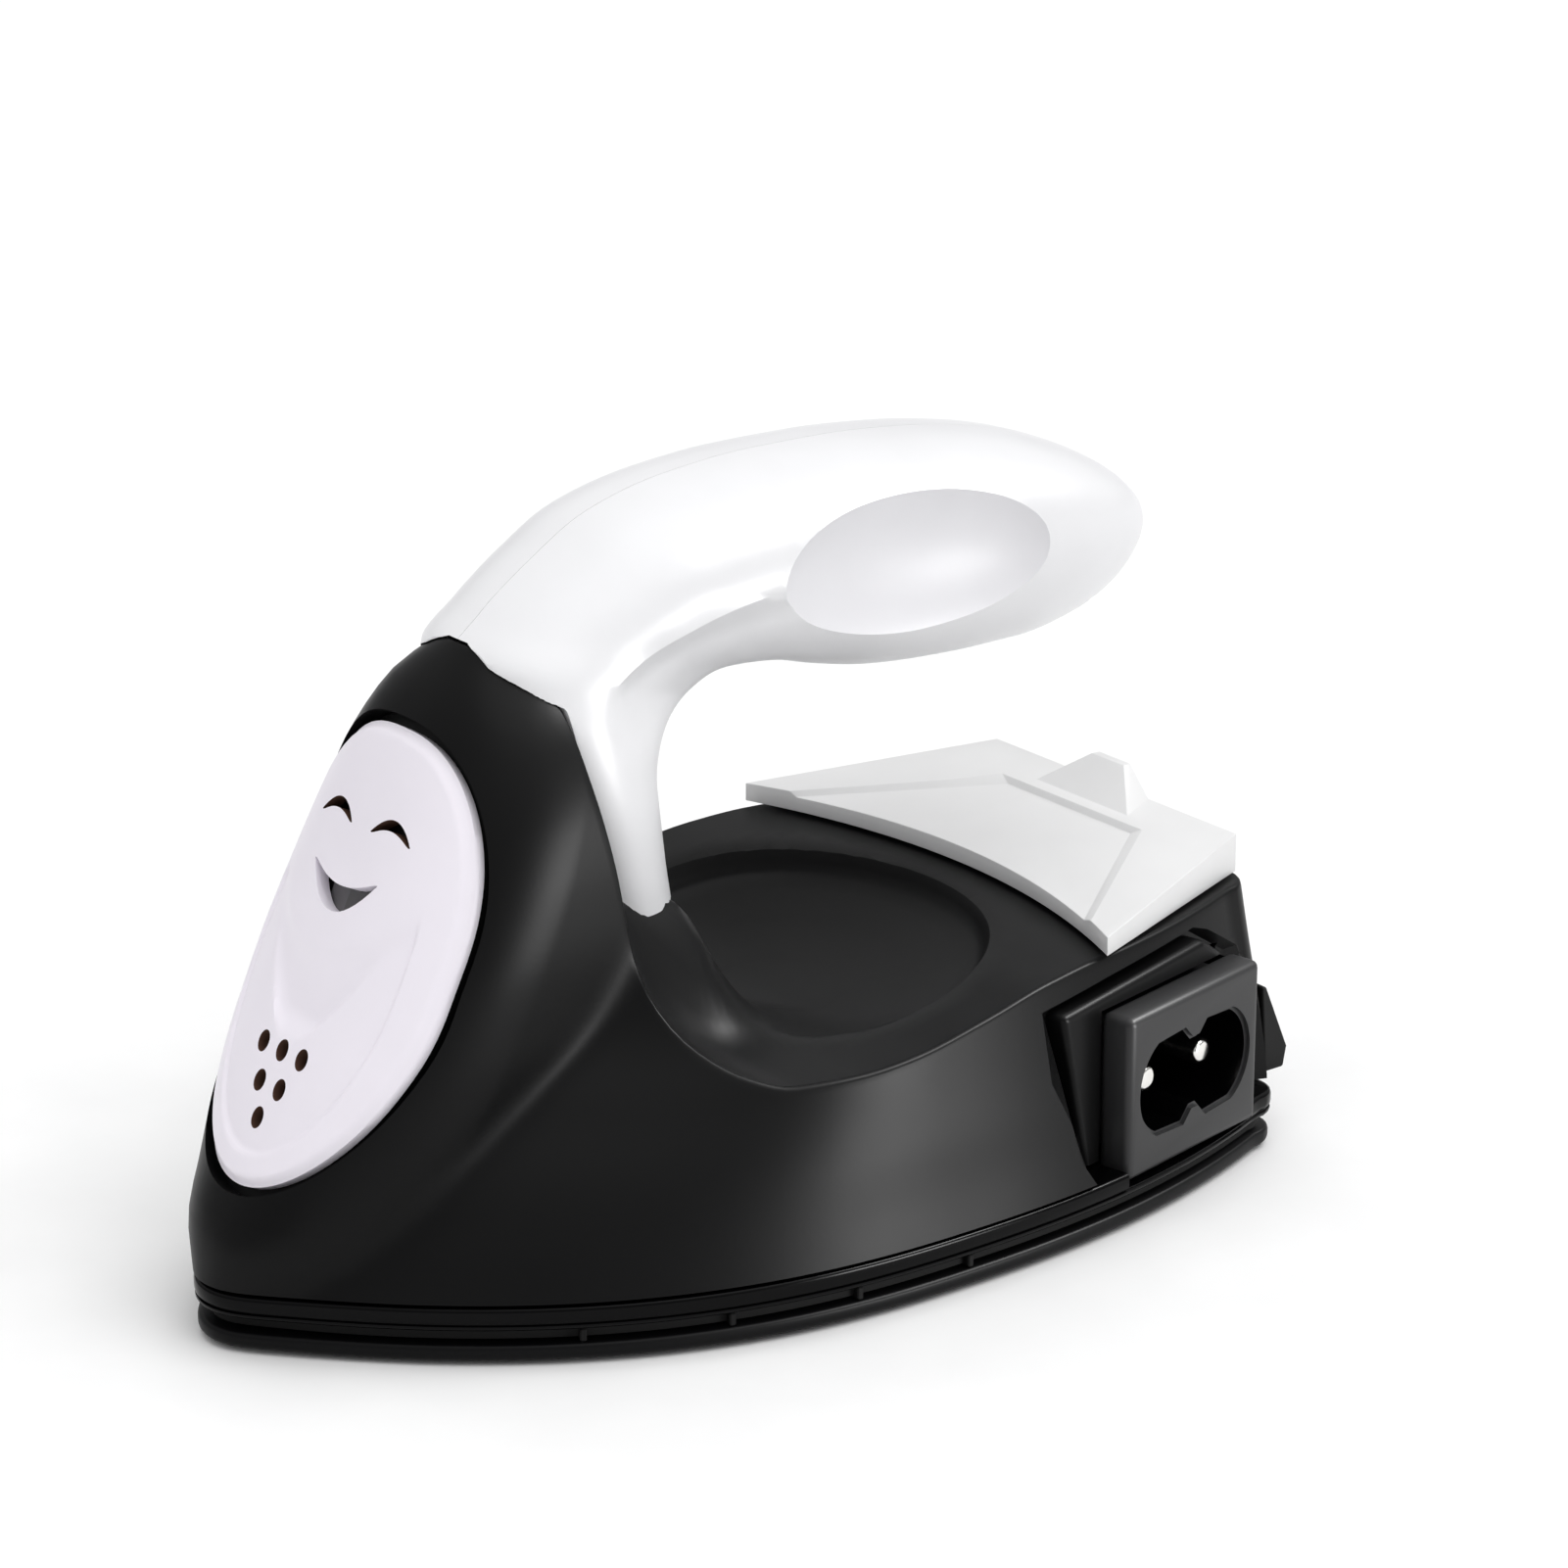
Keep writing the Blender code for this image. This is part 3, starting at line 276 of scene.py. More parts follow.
def loft(rings, capped=True):
    """Faces between closed rings of the same number of points."""
    bm = bmesh.new()
    rows = [[bm.verts.new(point) for point in ring] for ring in rings]
    for low, high in zip(rows, rows[1:]):
        for i in range(len(low)):
            j = (i + 1) % len(low)
            bm.faces.new((low[i], low[j], high[j], high[i]))
    if capped:
        bm.faces.new(rows[0])
        bm.faces.new(rows[-1])
    return bm


def box(x, y, z):
    bm = bmesh.new()
    size = [high - low for low, high in (x, y, z)]
    middle = [(high + low) / 2 for low, high in (x, y, z)]
    place = Matrix.Translation(middle) @ Matrix.Diagonal((*size, 1.0))
    bmesh.ops.create_cube(bm, size=1.0, matrix=place)
    return bm


def add_piece(name, bm, material):
    """Object from a bmesh in millimetres, with outward normals."""
    bmesh.ops.remove_doubles(bm, verts=bm.verts, dist=1e-4)
    bmesh.ops.recalc_face_normals(bm, faces=bm.faces)
    if bm.calc_volume(signed=True) < 0:
        bmesh.ops.reverse_faces(bm, faces=bm.faces)
    bmesh.ops.scale(bm, verts=bm.verts, vec=(MM, MM, MM))
    mesh = bpy.data.meshes.new(name)
    bm.to_mesh(mesh)
    bm.free()
    mesh.materials.append(material)
    obj = bpy.data.objects.new(name, mesh)
    bpy.context.scene.collection.objects.link(obj)
    return obj


def cut(obj, bm, operation="DIFFERENCE", material=None):
    """Boolean with a cutter from a bmesh; the faces it leaves take the cutter's material."""
    cutter = add_piece(f"{obj.name}_cutter", bm, material or obj.data.materials[0])
    cut_with(obj, cutter, operation)
    bpy.data.objects.remove(cutter, do_unlink=True)


def cut_with(obj, cutter, operation="DIFFERENCE"):
    modifier = obj.modifiers.new("cut", "BOOLEAN")
    modifier.operation = operation
    modifier.solver = "EXACT"
    modifier.material_mode = "TRANSFER"
    modifier.object = cutter
    settle(obj)


def settle(obj):
    """Applies the object's modifiers."""
    graph = bpy.context.evaluated_depsgraph_get()
    mesh = bpy.data.meshes.new_from_object(obj.evaluated_get(graph))
    obj.modifiers.clear()
    old, obj.data = obj.data, mesh
    mesh.name = obj.name
    bpy.data.meshes.remove(old)


def bevel(obj, width, segments=2, angle=35.0):
    modifier = obj.modifiers.new("edges", "BEVEL")
    modifier.width = width * MM
    modifier.segments = segments
    modifier.limit_method = "ANGLE"
    modifier.angle_limit = math.radians(angle)
    settle(obj)


def smooth(obj, angle=32.0):
    obj.data.shade_smooth()
    obj.data.set_sharp_from_angle(angle=math.radians(angle))


def stand_for(obj, *nodes):
    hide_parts(*nodes)
    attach(obj, BODY)


def hull_solid(inset, levels, steps=48):
    """Solid between level lines of the outer wall."""
    parameters = ring_parameters(steps)
    return loft([footprint_ring(height, inset, parameters, height) for height in levels])


# --- materials ---


def plastic(name, colour, roughness, grain=0.012, shift=0.12, specular=0.5, metallic=0.0):
    """Moulded or plated surface: fine grain in the bump, slow variation in gloss and tone."""
    material = bpy.data.materials.new(name)
    material.use_nodes = True
    nodes, links = material.node_tree.nodes, material.node_tree.links
    shader = nodes["Principled BSDF"]
    shader.inputs["Metallic"].default_value = metallic
    shader.inputs["Specular IOR Level"].default_value = specular
    place = nodes.new("ShaderNodeTexCoord")
    fine = nodes.new("ShaderNodeTexNoise")
    fine.inputs["Scale"].default_value = GRAIN_SCALE
    fine.inputs["Detail"].default_value = 3.0
    slow = nodes.new("ShaderNodeTexNoise")
    slow.inputs["Scale"].default_value = TONE_SCALE
    slow.inputs["Detail"].default_value = 4.0
    for texture in (fine, slow):
        links.new(place.outputs["Object"], texture.inputs["Vector"])
    gloss = nodes.new("ShaderNodeMapRange")
    gloss.inputs["To Min"].default_value = roughness * (1 - shift)
    gloss.inputs["To Max"].default_value = roughness * (1 + shift)
    links.new(slow.outputs["Fac"], gloss.inputs["Value"])
    links.new(gloss.outputs["Result"], shader.inputs["Roughness"])
    tone = nodes.new("ShaderNodeValToRGB")
    tone.color_ramp.elements[0].position, tone.color_ramp.elements[1].position = 0.3, 0.7
    tone.color_ramp.elements[0].color = (*[c * 0.965 for c in colour], 1.0)
    tone.color_ramp.elements[1].color = (*[min(c * 1.02, 1.0) for c in colour], 1.0)
    links.new(slow.outputs["Fac"], tone.inputs["Fac"])
    links.new(tone.outputs["Color"], shader.inputs["Base Color"])
    bump = nodes.new("ShaderNodeBump")
    bump.inputs["Strength"].default_value = 0.35
    bump.inputs["Distance"].default_value = grain * MM
    links.new(fine.outputs["Fac"], bump.inputs["Height"])
    links.new(bump.outputs["Normal"], shader.inputs["Normal"])
    material.diffuse_color = (*colour, 1.0)
    return material


SATIN_BLACK = plastic("satin_black_plastic", (0.0024, 0.0024, 0.0026), 0.38, grain=0.010, specular=0.12)
GLOSS_BLACK = plastic("gloss_black_plastic", (0.0010, 0.0010, 0.0012), 0.18, grain=0.003, specular=0.10)
INLET_BLACK = plastic("inlet_black_plastic", (0.022, 0.022, 0.023), 0.42, grain=0.010, specular=0.35)
SOLE = plastic("dark_sole_coating", (0.0022, 0.0022, 0.0026), 0.40, grain=0.014, specular=0.12)
PANEL_WHITE = plastic("lilac_white_plastic", (0.93, 0.89, 0.96), 0.38, grain=0.006, specular=0.4)
HANDLE_WHITE = plastic("white_plastic", (0.89, 0.89, 0.905), 0.32, grain=0.004, specular=0.4)
# The dimple's greyer white is painted shade for the thumb recess; the plastic there is the handle's white.
DIMPLE_PAINTED_SHADE = plastic("dimple_painted_shade_plastic", (0.84, 0.835, 0.86), 0.42, grain=0.008, specular=0.35)
HEEL_WHITE = plastic("pale_grey_plastic", (0.85, 0.85, 0.85), 0.40, grain=0.006, specular=0.4)
RUBBER = plastic("black_rubber", (0.004, 0.004, 0.004), 0.62, grain=0.016, specular=0.15)
# Dark brown painted shade for the walls of the eyes and vents and for the plate behind them.
SHADOW = plastic("vent_painted_shade", (0.10, 0.052, 0.036), 0.60, grain=0.010, specular=0.2)
MOUTH = plastic("smoked_lens", (0.085, 0.083, 0.085), 0.30, grain=0.004)
STEEL = plastic("plated_steel", (0.58, 0.58, 0.59), 0.30, metallic=1.0)
ALUMINIUM = plastic("rolled_aluminium", (0.74, 0.74, 0.75), 0.34, metallic=1.0)
NICKEL = plastic("nickel_plate", (0.84, 0.83, 0.80), 0.16, grain=0.002, metallic=1.0)
BRASS = plastic("brass_strip", (0.72, 0.55, 0.26), 0.30, metallic=1.0)
SILVER = plastic("silver_contact", (0.84, 0.84, 0.83), 0.24, metallic=1.0)
CERAMIC = plastic("steatite", (0.78, 0.74, 0.66), 0.52, grain=0.014)
MICA = plastic("mica_sheet", (0.50, 0.42, 0.30), 0.44, grain=0.020, shift=0.3)
BOARD = plastic("circuit_board", (0.31, 0.22, 0.09), 0.52)
RESISTOR = plastic("resistor_lacquer", (0.26, 0.38, 0.50), 0.34)
LEAD_BROWN = plastic("brown_sleeve", (0.17, 0.07, 0.04), 0.50)
LEAD_BLUE = plastic("blue_sleeve", (0.04, 0.12, 0.40), 0.50)
LEAD_RED = plastic("red_sleeve", (0.45, 0.03, 0.025), 0.50)

# Of the CAD's satin black pieces only the plate behind the panel's openings is left in sight; it takes the
# painted shade colour of the vents.
BY_SLOT = {
    "satin_black": SHADOW, "gloss_black": GLOSS_BLACK, "inlet_black": INLET_BLACK, "sole_coating": SOLE,
    "panel_white": PANEL_WHITE, "handle_white": HANDLE_WHITE, "heel_white": HEEL_WHITE,
    "gasket_rubber": RUBBER, "foot_rubber": RUBBER, "smoked_lens": MOUTH, "nickel": NICKEL, "mica": MICA,
    "steel": STEEL, "aluminium": ALUMINIUM, "ceramic": CERAMIC, "brass": BRASS, "silver_contact": SILVER,
    "circuit_board": BOARD, "resistor_body": RESISTOR, "lead_brown": LEAD_BROWN, "lead_blue": LEAD_BLUE,
    "lead_red": LEAD_RED,
}
for part in frame["record"]["subparts"]:
    data = frame["nodes"][part["node"]].data
    if not data.materials:
        data.materials.append(None)
    for i in range(len(data.materials)):
        data.materials[i] = BY_SLOT[part["material_slot"]]


# --- housing ---


def rim_crossing(u, inset, lift):
    """Height at which one column of the wall meets the rim."""
    low, high = SEAM, 60.0
    for _ in range(26):
        middle = (low + high) / 2
        x, distance = wall_point(u, middle, inset)
        if rim_height(x, distance - max(lift, 0.0)) + lift > middle:
            low = middle
        else:
            high = middle
    return low


def housing_solid(inset=0.0, lift=0.0, steps=110, rows=34, across=36, fillet=0.4, dished=True):
    """Outer shape with its top: wall columns up to the rim, a rounded edge, and a top of cross rows."""
    parameters = ring_parameters(steps)
    columns, tops = [], []
    for u in parameters:
        rim = rim_crossing(u, inset, lift)
        x, distance = wall_point(u, rim, inset)
        back = min(fillet, 0.3 * x) if u < 1 else fillet

        def top(across_x, row=distance):
            drop = basin(across_x, row) if dished else 0.0
            return (across_x, row, rim_height(across_x, row - max(lift, 0.0)) + lift - drop)

        heights = [SEAM + (rim - back - SEAM) * i / rows for i in range(rows + 1)]
        wall = [(*wall_point(u, h, inset), h) for h in heights]
        corner = (x, distance, rim)
        inner = top(max(x - back, 0.0)) if x > 0.05 else corner
        for t in (0.25, 0.5, 0.75, 1.0):
            wall.append(tuple(
                (1 - t) ** 2 * a + 2 * t * (1 - t) * b + t**2 * c
                for a, b, c in zip(wall[rows], corner, inner)
            ))
        columns.append(wall)
        inner_x = max(x - back, 0.0)
        tops.append([top(inner_x * math.cos(math.pi * k / across)) for k in range(across + 1)])
    bm = bmesh.new()

    def vertex(point, sign=1):
        return bm.verts.new((sign * point[0], along(point[1]), point[2]))

    for sign in (1, -1):
        grid = [[vertex(point, sign) for point in wall] for wall in columns]
        for a, b in zip(grid, grid[1:]):
            for i in range(len(a) - 1):
                bm.faces.new((a[i], b[i], b[i + 1], a[i + 1]))
    sheet = [[vertex(point) for point in row] for row in tops]
    for a, b in zip(sheet, sheet[1:]):
        for i in range(across):
            bm.faces.new((a[i], a[i + 1], b[i + 1], b[i]))
    floor = [[vertex((x * wall[0][0], wall[0][1], SEAM)) for x in (1, 0, -1)] for wall in columns]
    for a, b in zip(floor, floor[1:]):
        for i in range(2):
            bm.faces.new((a[i], a[i + 1], b[i + 1], b[i]))
    bmesh.ops.remove_doubles(bm, verts=bm.verts, dist=0.004)
    bmesh.ops.dissolve_degenerate(bm, edges=bm.edges, dist=0.002)
    return bm


# Section of the dish's step: share of the oval's radius, share of the step's depth.
DISH_SECTION = (
    (0.3, 1.0), (0.6, 1.0), (0.8, 1.0), (0.89, 0.98), (0.915, 0.85), (0.935, 0.45), (0.95, 0.06),
    (0.965, -0.12), (1.0, -0.6),
)


def dish_cutter():
    """Oval cutter that leaves a rounded step at the back of the dish and fades out at the front."""
    rings = []
    for reach, sink in DISH_SECTION:
        ring = []
        for i in range(128):
            turn = 2 * math.pi * i / 128
            x = DISH_RADII[0] * reach * math.cos(turn)
            distance = DISH_CENTRE + DISH_RADII[1] * reach * math.sin(turn)
            step = DISH_LIP * (1.3 * ease(distance, 45.0, 66.0) - 0.3)
            sunk = step * sink if step > 0 else step
            ring.append((x, along(distance), rim_height(x, distance) - basin(x, distance) - sunk))
        rings.append(ring)
    rings.append([(x, y, 80.0) for x, y, _ in rings[-1]])
    return loft(rings)


def egg_points(grow, count=96):
    """Egg-shaped outline of the panel, as points across and up its slope."""
    points = []
    for i in range(count):
        turn = 2 * math.pi * i / count
        power = 2 / 2.6 if math.sin(turn) > 0 else 1.0
        x = (PANEL_RADII[0] + grow) * math.copysign(abs(math.cos(turn)) ** power, math.cos(turn))
        up = (PANEL_RADII[1] + grow) * math.copysign(abs(math.sin(turn)) ** power, math.sin(turn))
        points.append((x, up))
    return points


SLOPE = Vector((0.0, math.sin(PANEL_TILT), math.cos(PANEL_TILT)))
OUT = Vector((0.0, -math.cos(PANEL_TILT), math.sin(PANEL_TILT)))
PANEL_ORIGIN = Vector((0.0, along(PANEL_CENTRE[0]), PANEL_CENTRE[1]))


def panel_place(x, up, depth):
    return PANEL_ORIGIN + Vector((x, 0, 0)) + SLOPE * up + OUT * depth


def on_panel(points, low, high):
    return loft([[panel_place(x, up, depth) for x, up in points] for depth in (low, high)])


def hull_depth(x, up):
    """How far out along the panel's axis the outer wall lies at a point of the panel."""
    low, high = -13.0, 9.0
    for _ in range(24):
        middle = (low + high) / 2
        place = panel_place(x, up, middle)
        level = level_at(min(max(place.z, 5.5), 60.0))
        inside = place.y - NOSE_Y > level[0] and half_width(place.y - NOSE_Y, level) > abs(x)
        if inside:
            low = middle
        else:
            high = middle
    return low


def inlet_frame():
    x, distance, z = INLET_CENTRE
    return Matrix.Translation((x, along(distance), z)) @ Matrix.Rotation(INLET_TURN, 4, "Z")


def at_inlet(bm):
    bmesh.ops.transform(bm, matrix=inlet_frame(), verts=bm.verts)
    return bm


def inlet_block(grow, low, high):
    width, height = INLET_FACE[0] / 2 + grow, INLET_FACE[1] / 2 + grow
    return at_inlet(box((low, high), (-width, width), (-height, height)))


def inlet_prism(points, low, high):
    return at_inlet(loft([[(depth, y, z) for y, z in points] for depth in (low, high)]))


def inlet_rod(side, radius, middle, length, segments):
    """Round bar along one pin of the inlet."""
    bm = bmesh.new()
    place = Matrix.Translation((middle, side * PIN_OFFSET, 0)) @ Matrix.Rotation(math.pi / 2, 4, "Y")
    bmesh.ops.create_cone(
        bm, cap_ends=True, segments=segments, radius1=radius, radius2=radius, depth=length, matrix=place,
    )
    return at_inlet(bm)


def collar_outline(grow):
    """Frame round the inlet, wider at its top front corner."""
    left, right, top, low = -15.9 - grow, 11.0 + grow, 9.2 + grow, -9.5
    return [(left, top), (5.4, top + 1.2), (right, 6.6 + grow), (right, low), (-11.5 - grow, low)]


def collar_recess():
    """Cutter for the sloping facets between the side wall and the foot of the collar."""
    inner = collar_outline(0.5)
    outer = [(-20.8, 10.2), (6.0, 12.4), (17.0, 8.5), (17.0, -9.5), (-12.6, -9.5)]
    far = [(2 * b[0] - a[0], 2 * b[1] - a[1]) for a, b in zip(inner, outer)]
    rings = [(-INLET_REACH - 1.7, inner), (-INLET_REACH + 1.9, outer), (-INLET_REACH + 5.5, far)]
    return at_inlet(loft([[(depth, y, z) for y, z in points] for depth, points in rings]))


def build_housing():
    housing = add_piece("housing_shell", housing_solid(), SATIN_BLACK)
    cut(housing, dish_cutter())
    cut(housing, collar_recess())
    cut(housing, inlet_block(INLET_GAP, -INLET_REACH - 6.0, 6.0))
    seat = add_piece("seat", on_panel(egg_points(PANEL_GROOVE), -10.0, 9.0), SATIN_BLACK)
    cut(seat, hull_solid(PANEL_SEAT, np.linspace(5.5, 59.0, 40)))
    cut_with(housing, seat)
    bpy.data.objects.remove(seat, do_unlink=True)
    cut(housing, hull_solid(HOLLOW_WALL, (4.0, SEAM, 9.0, 13.0)))
    smooth(housing)
    stand_for(housing, "main_housing")


def build_collar():
    frame_block = inlet_prism(collar_outline(0.0), -INLET_REACH - 8.0, -INLET_REACH + 0.5)
    collar = add_piece("inlet_collar", frame_block, SATIN_BLACK)
    bevel(collar, 0.7, 4)
    cut(collar, box((0, 60), (along(60), along(104.0)), (SEAM + 0.02, 40)), "INTERSECT")
    cut(collar, inlet_block(INLET_GAP, -INLET_REACH - 9.0, 6.0))
    smooth(collar)
    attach(collar, BODY)


# --- front panel ---


def panel_relief(x, up):
    """Depth below the face: a step down to the floor with the vents, and the scoop above them."""
    inner = 1 - math.sqrt((x / 10.3) ** 2 + (min(up, 0.0) / 18.4) ** 2 + (max(up, 0.0) / 22.0) ** 2)
    chin = 0.6 + 5.4 * min(abs(x) / 9.2, 1.3) ** 2
    field = ease(inner, -0.004, 0.034) * ease(chin - up, -0.3, 2.2)
    side = 9.4 * max((up + 8.2) / 14.0, 0.0) ** 0.62
    across = min(abs(x) / side, 1.0) if side > 0 else 1.0
    scoop = (1 - across**5) * ease(chin - up, -0.8, 6.0) * ease(up, -8.2, -5.0)
    return 0.34 * field + 0.95 * scoop


def crescent(x, up, width, rise, thickness, bend, power):
    """Pointed curved slot: bend 1 arches upwards, -1 hangs downwards."""
    outer, inner = [], []
    for i in range(17):
        t = -1 + i / 8
        arc = max(1 - t * t, 0.0)
        outer.append((x + t * width / 2, up + bend * rise * arc))
        lower = bend * (rise * arc - thickness * arc**power) - bend * 0.06
        inner.append((x + t * (width / 2 - 0.15), up + lower))
    return outer + inner[::-1]


def panel_shell(count=144, rings=72):
    """Face with its relief, and a back at an even depth below the outer wall."""
    edge = egg_points(-PANEL_SHRINK, count)
    front = []
    for k in range(rings + 1):
        reach = k / rings
        reach = 1 - (1 - reach) ** 1.15
        row = []
        for x, up in edge:
            px, pu = x * reach, up * reach
            rounding = 0.6 * ease(reach, 0.95, 1.0)
            row.append((px, pu, hull_depth(px, pu) - 0.02 - panel_relief(px, pu) - rounding))
        front.append(row)
    bm = bmesh.new()
    rows = [[bm.verts.new(panel_place(*point)) for point in ring] for ring in front]
    for ring in reversed(front):
        rows.append([bm.verts.new(panel_place(x, up, hull_depth(x, up) - PANEL_BACK)) for x, up, _ in ring])
    for a, b in zip(rows, rows[1:]):
        for i in range(count):
            j = (i + 1) % count
            bm.faces.new((a[i], a[j], b[j], b[i]))
    return bm


def build_panel():
    panel = add_piece("face_panel", panel_shell(), PANEL_WHITE)
    # The eyes' and vents' walls take the painted shade colour; the mouth's walls keep the panel's white.
    openings = [(crescent(side * 4.0, 11.7, 5.2, 1.7, 0.95, 1, 0.8), SHADOW) for side in (1, -1)]
    openings.append((crescent(0.0, 7.6, 9.4, 3.6, 2.3, -1, 0.9), PANEL_WHITE))
    turns = np.linspace(0, 2 * math.pi, 25)[:-1]
    for x, up in VENTS:
        openings.append(([(x + 0.78 * math.cos(a), up + 1.0 * math.sin(a)) for a in turns], SHADOW))
    for points, material in openings:
        cut(panel, on_panel(points, -9.0, 9.0), material=material)
    smooth(panel, 40.0)
    stand_for(panel, "front_panel")


# --- handle ---


READ_RIB = table_reader([
    (i, outer[0], outer[1], inner[0], inner[1], width)
    for i, (outer, inner, width) in enumerate(HANDLE)
])


def handle_ring(position, half_steps=30):
    """Half a rib from its outer to its inner edge, slimmer below the crease along the neck."""
    row = READ_RIB(position)
    outer, inner, width = np.array(row[0:2]), np.array(row[2:4]), row[4]
    waist = ease(position, 2.6, 4.2) * (1 - ease(position, 6.6, 9.0))
    side = []
    for i in range(half_steps + 1):
        u = (1 - math.cos(math.pi * i / half_steps)) / 2
        if u <= CREASE:
            spread = (1 - (1 - u / CREASE) ** 2.2) ** (1 / 2.2)
        else:
            v = (u - CREASE) / (1 - CREASE)
            spread = (1 - v**1.9) ** (1 / 1.9)
            spread *= 1 - 0.10 * waist * ease(v, 0.0, 0.16) * (1 - ease(v, 0.55, 0.95))
        distance, height = outer + (inner - outer) * u
        side.append((width * spread, distance, height))
    return side


def build_handle():
    positions = np.linspace(0, len(HANDLE) - 1, 110)
    rings = [whole_ring(handle_ring(position)) for position in positions]
    seat_solid = housing_solid(
        -HANDLE_GAP, HANDLE_GAP, steps=90, rows=20, across=16, fillet=0.2, dished=False,
    )
    seat = add_piece("handle_seat", seat_solid, HANDLE_WHITE)
    for name, side in (("left", 1), ("right", -1)):
        shell = add_piece(f"handle_shell_{name}", loft(rings), HANDLE_WHITE)
        cut_with(shell, seat)
        half_x = sorted((side * HALF_GAP, side * 30))
        cut(shell, box(half_x, (along(28.0), 80), (0, 90)), "INTERSECT")
        # The dimple's faces take the greyer white of painted shade.
        cut(shell, dimple(side), material=DIMPLE_PAINTED_SHADE)
        smooth(shell, 30.0)
        stand_for(shell, f"handle_{name}")
    bpy.data.objects.remove(seat, do_unlink=True)


def dimple(side):
    """Ellipsoid that sinks the thumb rest into one side of the handle."""
    bm = bmesh.new()
    bmesh.ops.create_uvsphere(bm, u_segments=72, v_segments=40, radius=1.0)
    size = Matrix.Diagonal((6.5, DIMPLE_RADII[0] * 1.18, DIMPLE_RADII[1] * 1.18, 1.0))
    place = Matrix.Translation((side * 14.3, along(DIMPLE_CENTRE[0]), DIMPLE_CENTRE[1]))
    place = place @ Matrix.Rotation(DIMPLE_TILT, 4, "X") @ size
    bmesh.ops.transform(bm, matrix=place, verts=bm.verts)
    return bm


# --- base: sole, gasket groove with ribs, skirt ---


# Sections round the footprint: inset, height.
SOLE_SECTION = (
    (1.2, 0.0), (0.75, 0.04), (0.45, 0.16), (0.28, 0.38), (0.22, 0.65), (0.22, 1.2), (0.32, 1.45),
    (0.6, 1.58),
)
SKIRT_SECTION = (
    (7.0, 2.95), (0.55, 2.95), (0.22, 3.05), (0.08, 3.25), (0.08, 3.45), (0.3, 3.55), (0.3, 3.68),
    (0.06, 3.8), (0.02, 4.1), (0.02, 4.75), (0.1, 5.02), (0.35, 5.16), (0.8, 5.2), (7.0, 5.2),
)
GASKET_SECTION = ((2.2, 1.9), (1.2, 1.9), (1.2, 2.6), (2.2, 2.6))
RIB_DISTANCES = (24.0, 36.0, 48.0, 60.0)


def band(section, capped=False):
    """Ring, or slab if capped, round the footprint."""
    parameters = ring_parameters(90)
    rings = [footprint_ring(SEAM, inset, parameters, height) for inset, height in section]
    return loft(rings if capped else [*rings, rings[0]], capped)


def gasket_rib(side, distance):
    level = level_at(SEAM)
    tab = box((-0.7, 0.7), (-0.3, 0.3), (1.66, 2.88))
    turn = math.atan2(half_width(distance + 1, level) - half_width(distance - 1, level), 2)
    place = Matrix.Translation((side * half_width(distance, level, 1.15), along(distance), 0))
    bmesh.ops.transform(tab, matrix=place @ Matrix.Rotation(-side * turn, 4, "Z"), verts=tab.verts)
    return tab


def build_base():
    sole = add_piece("sole_slab", band(SOLE_SECTION, capped=True), SOLE)
    smooth(sole, 50.0)
    stand_for(sole, "soleplate")
    skirt = add_piece("skirt_ring", band(SKIRT_SECTION), GLOSS_BLACK)
    cut(skirt, inlet_block(INLET_GAP, -INLET_REACH, 4.0))
    smooth(skirt, 50.0)
    stand_for(skirt, "base_skirt")
    gasket = add_piece("gasket_ring", band(GASKET_SECTION), RUBBER)
    smooth(gasket, 40.0)
    stand_for(gasket, "sole_gasket")
    for name, side in (("left", 1), ("right", -1)):
        for i, distance in enumerate(RIB_DISTANCES):
            rib = add_piece(f"gasket_rib_{name}_{i + 1}", gasket_rib(side, distance), RUBBER)
            bevel(rib, 0.12, 1)
            smooth(rib)
            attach(rib, BODY)


# --- heel rest and feet ---


def tapered(front_x, front, front_z, rear_x, rear, rear_z):
    """Ring of four corners, with its own width and height at the front and at the rear."""
    front_y, rear_y = along(front), along(rear)
    return [
        (-front_x, front_y, front_z), (front_x, front_y, front_z),
        (rear_x, rear_y, rear_z), (-rear_x, rear_y, rear_z),
    ]


def build_heel():
    front_arc = [(26.4 * t, 80.0 + 5.2 * (1 - t * t)) for t in np.linspace(1, -1, 41)]
    outline = [(x, along(d)) for x, d in (*front_arc, (-17.2, 103.9), (17.2, 103.9))]
    slab = loft([[(x, y, z) for x, y in outline] for z in (24.7, 30.5)])
    heel = add_piece("heel_cap", slab, HEEL_WHITE)
    cut(heel, loft([tapered(40, 70, 25.7, 40, 110, 28.9), tapered(40, 70, 37.7, 40, 110, 40.9)]))
    cut(heel, loft([tapered(23.5, 78.5, 25.9, 8.8, 98.2, 27.3), tapered(29, 76, 29, 14.5, 99.5, 30.3)]))
    fin = [tapered(9.4, 97.6, 26.0, 7.2, 103.9, 26.0), tapered(2.3, 103.0, 31.2, 2.2, 103.9, 31.2)]
    cut(heel, loft(fin), "UNION")
    bevel(heel, 0.35, 3, 20.0)
    smooth(heel, 40.0)
    stand_for(heel, "heel_rest")
    for name, side in (("left", 1), ("right", -1)):
        rings = []
        front = along(SOLE_LENGTH + 0.1)
        for half, reach, height in ((1.5, 2.6, 5.8), (1.5, 3.0, 7.8), (1.0, 0.6, 14.2)):
            low, high, rear = side * FOOT_X - half, side * FOOT_X + half, along(SOLE_LENGTH + reach)
            corners = ((low, front), (high, front), (high, rear), (low, rear))
            rings.append([(x, y, height) for x, y in corners])
        foot = add_piece(f"heel_stub_{name}", loft(rings), RUBBER)
        bevel(foot, 0.3, 3)
        smooth(foot)
        stand_for(foot, f"heel_foot_{name}")


# --- inlet ---


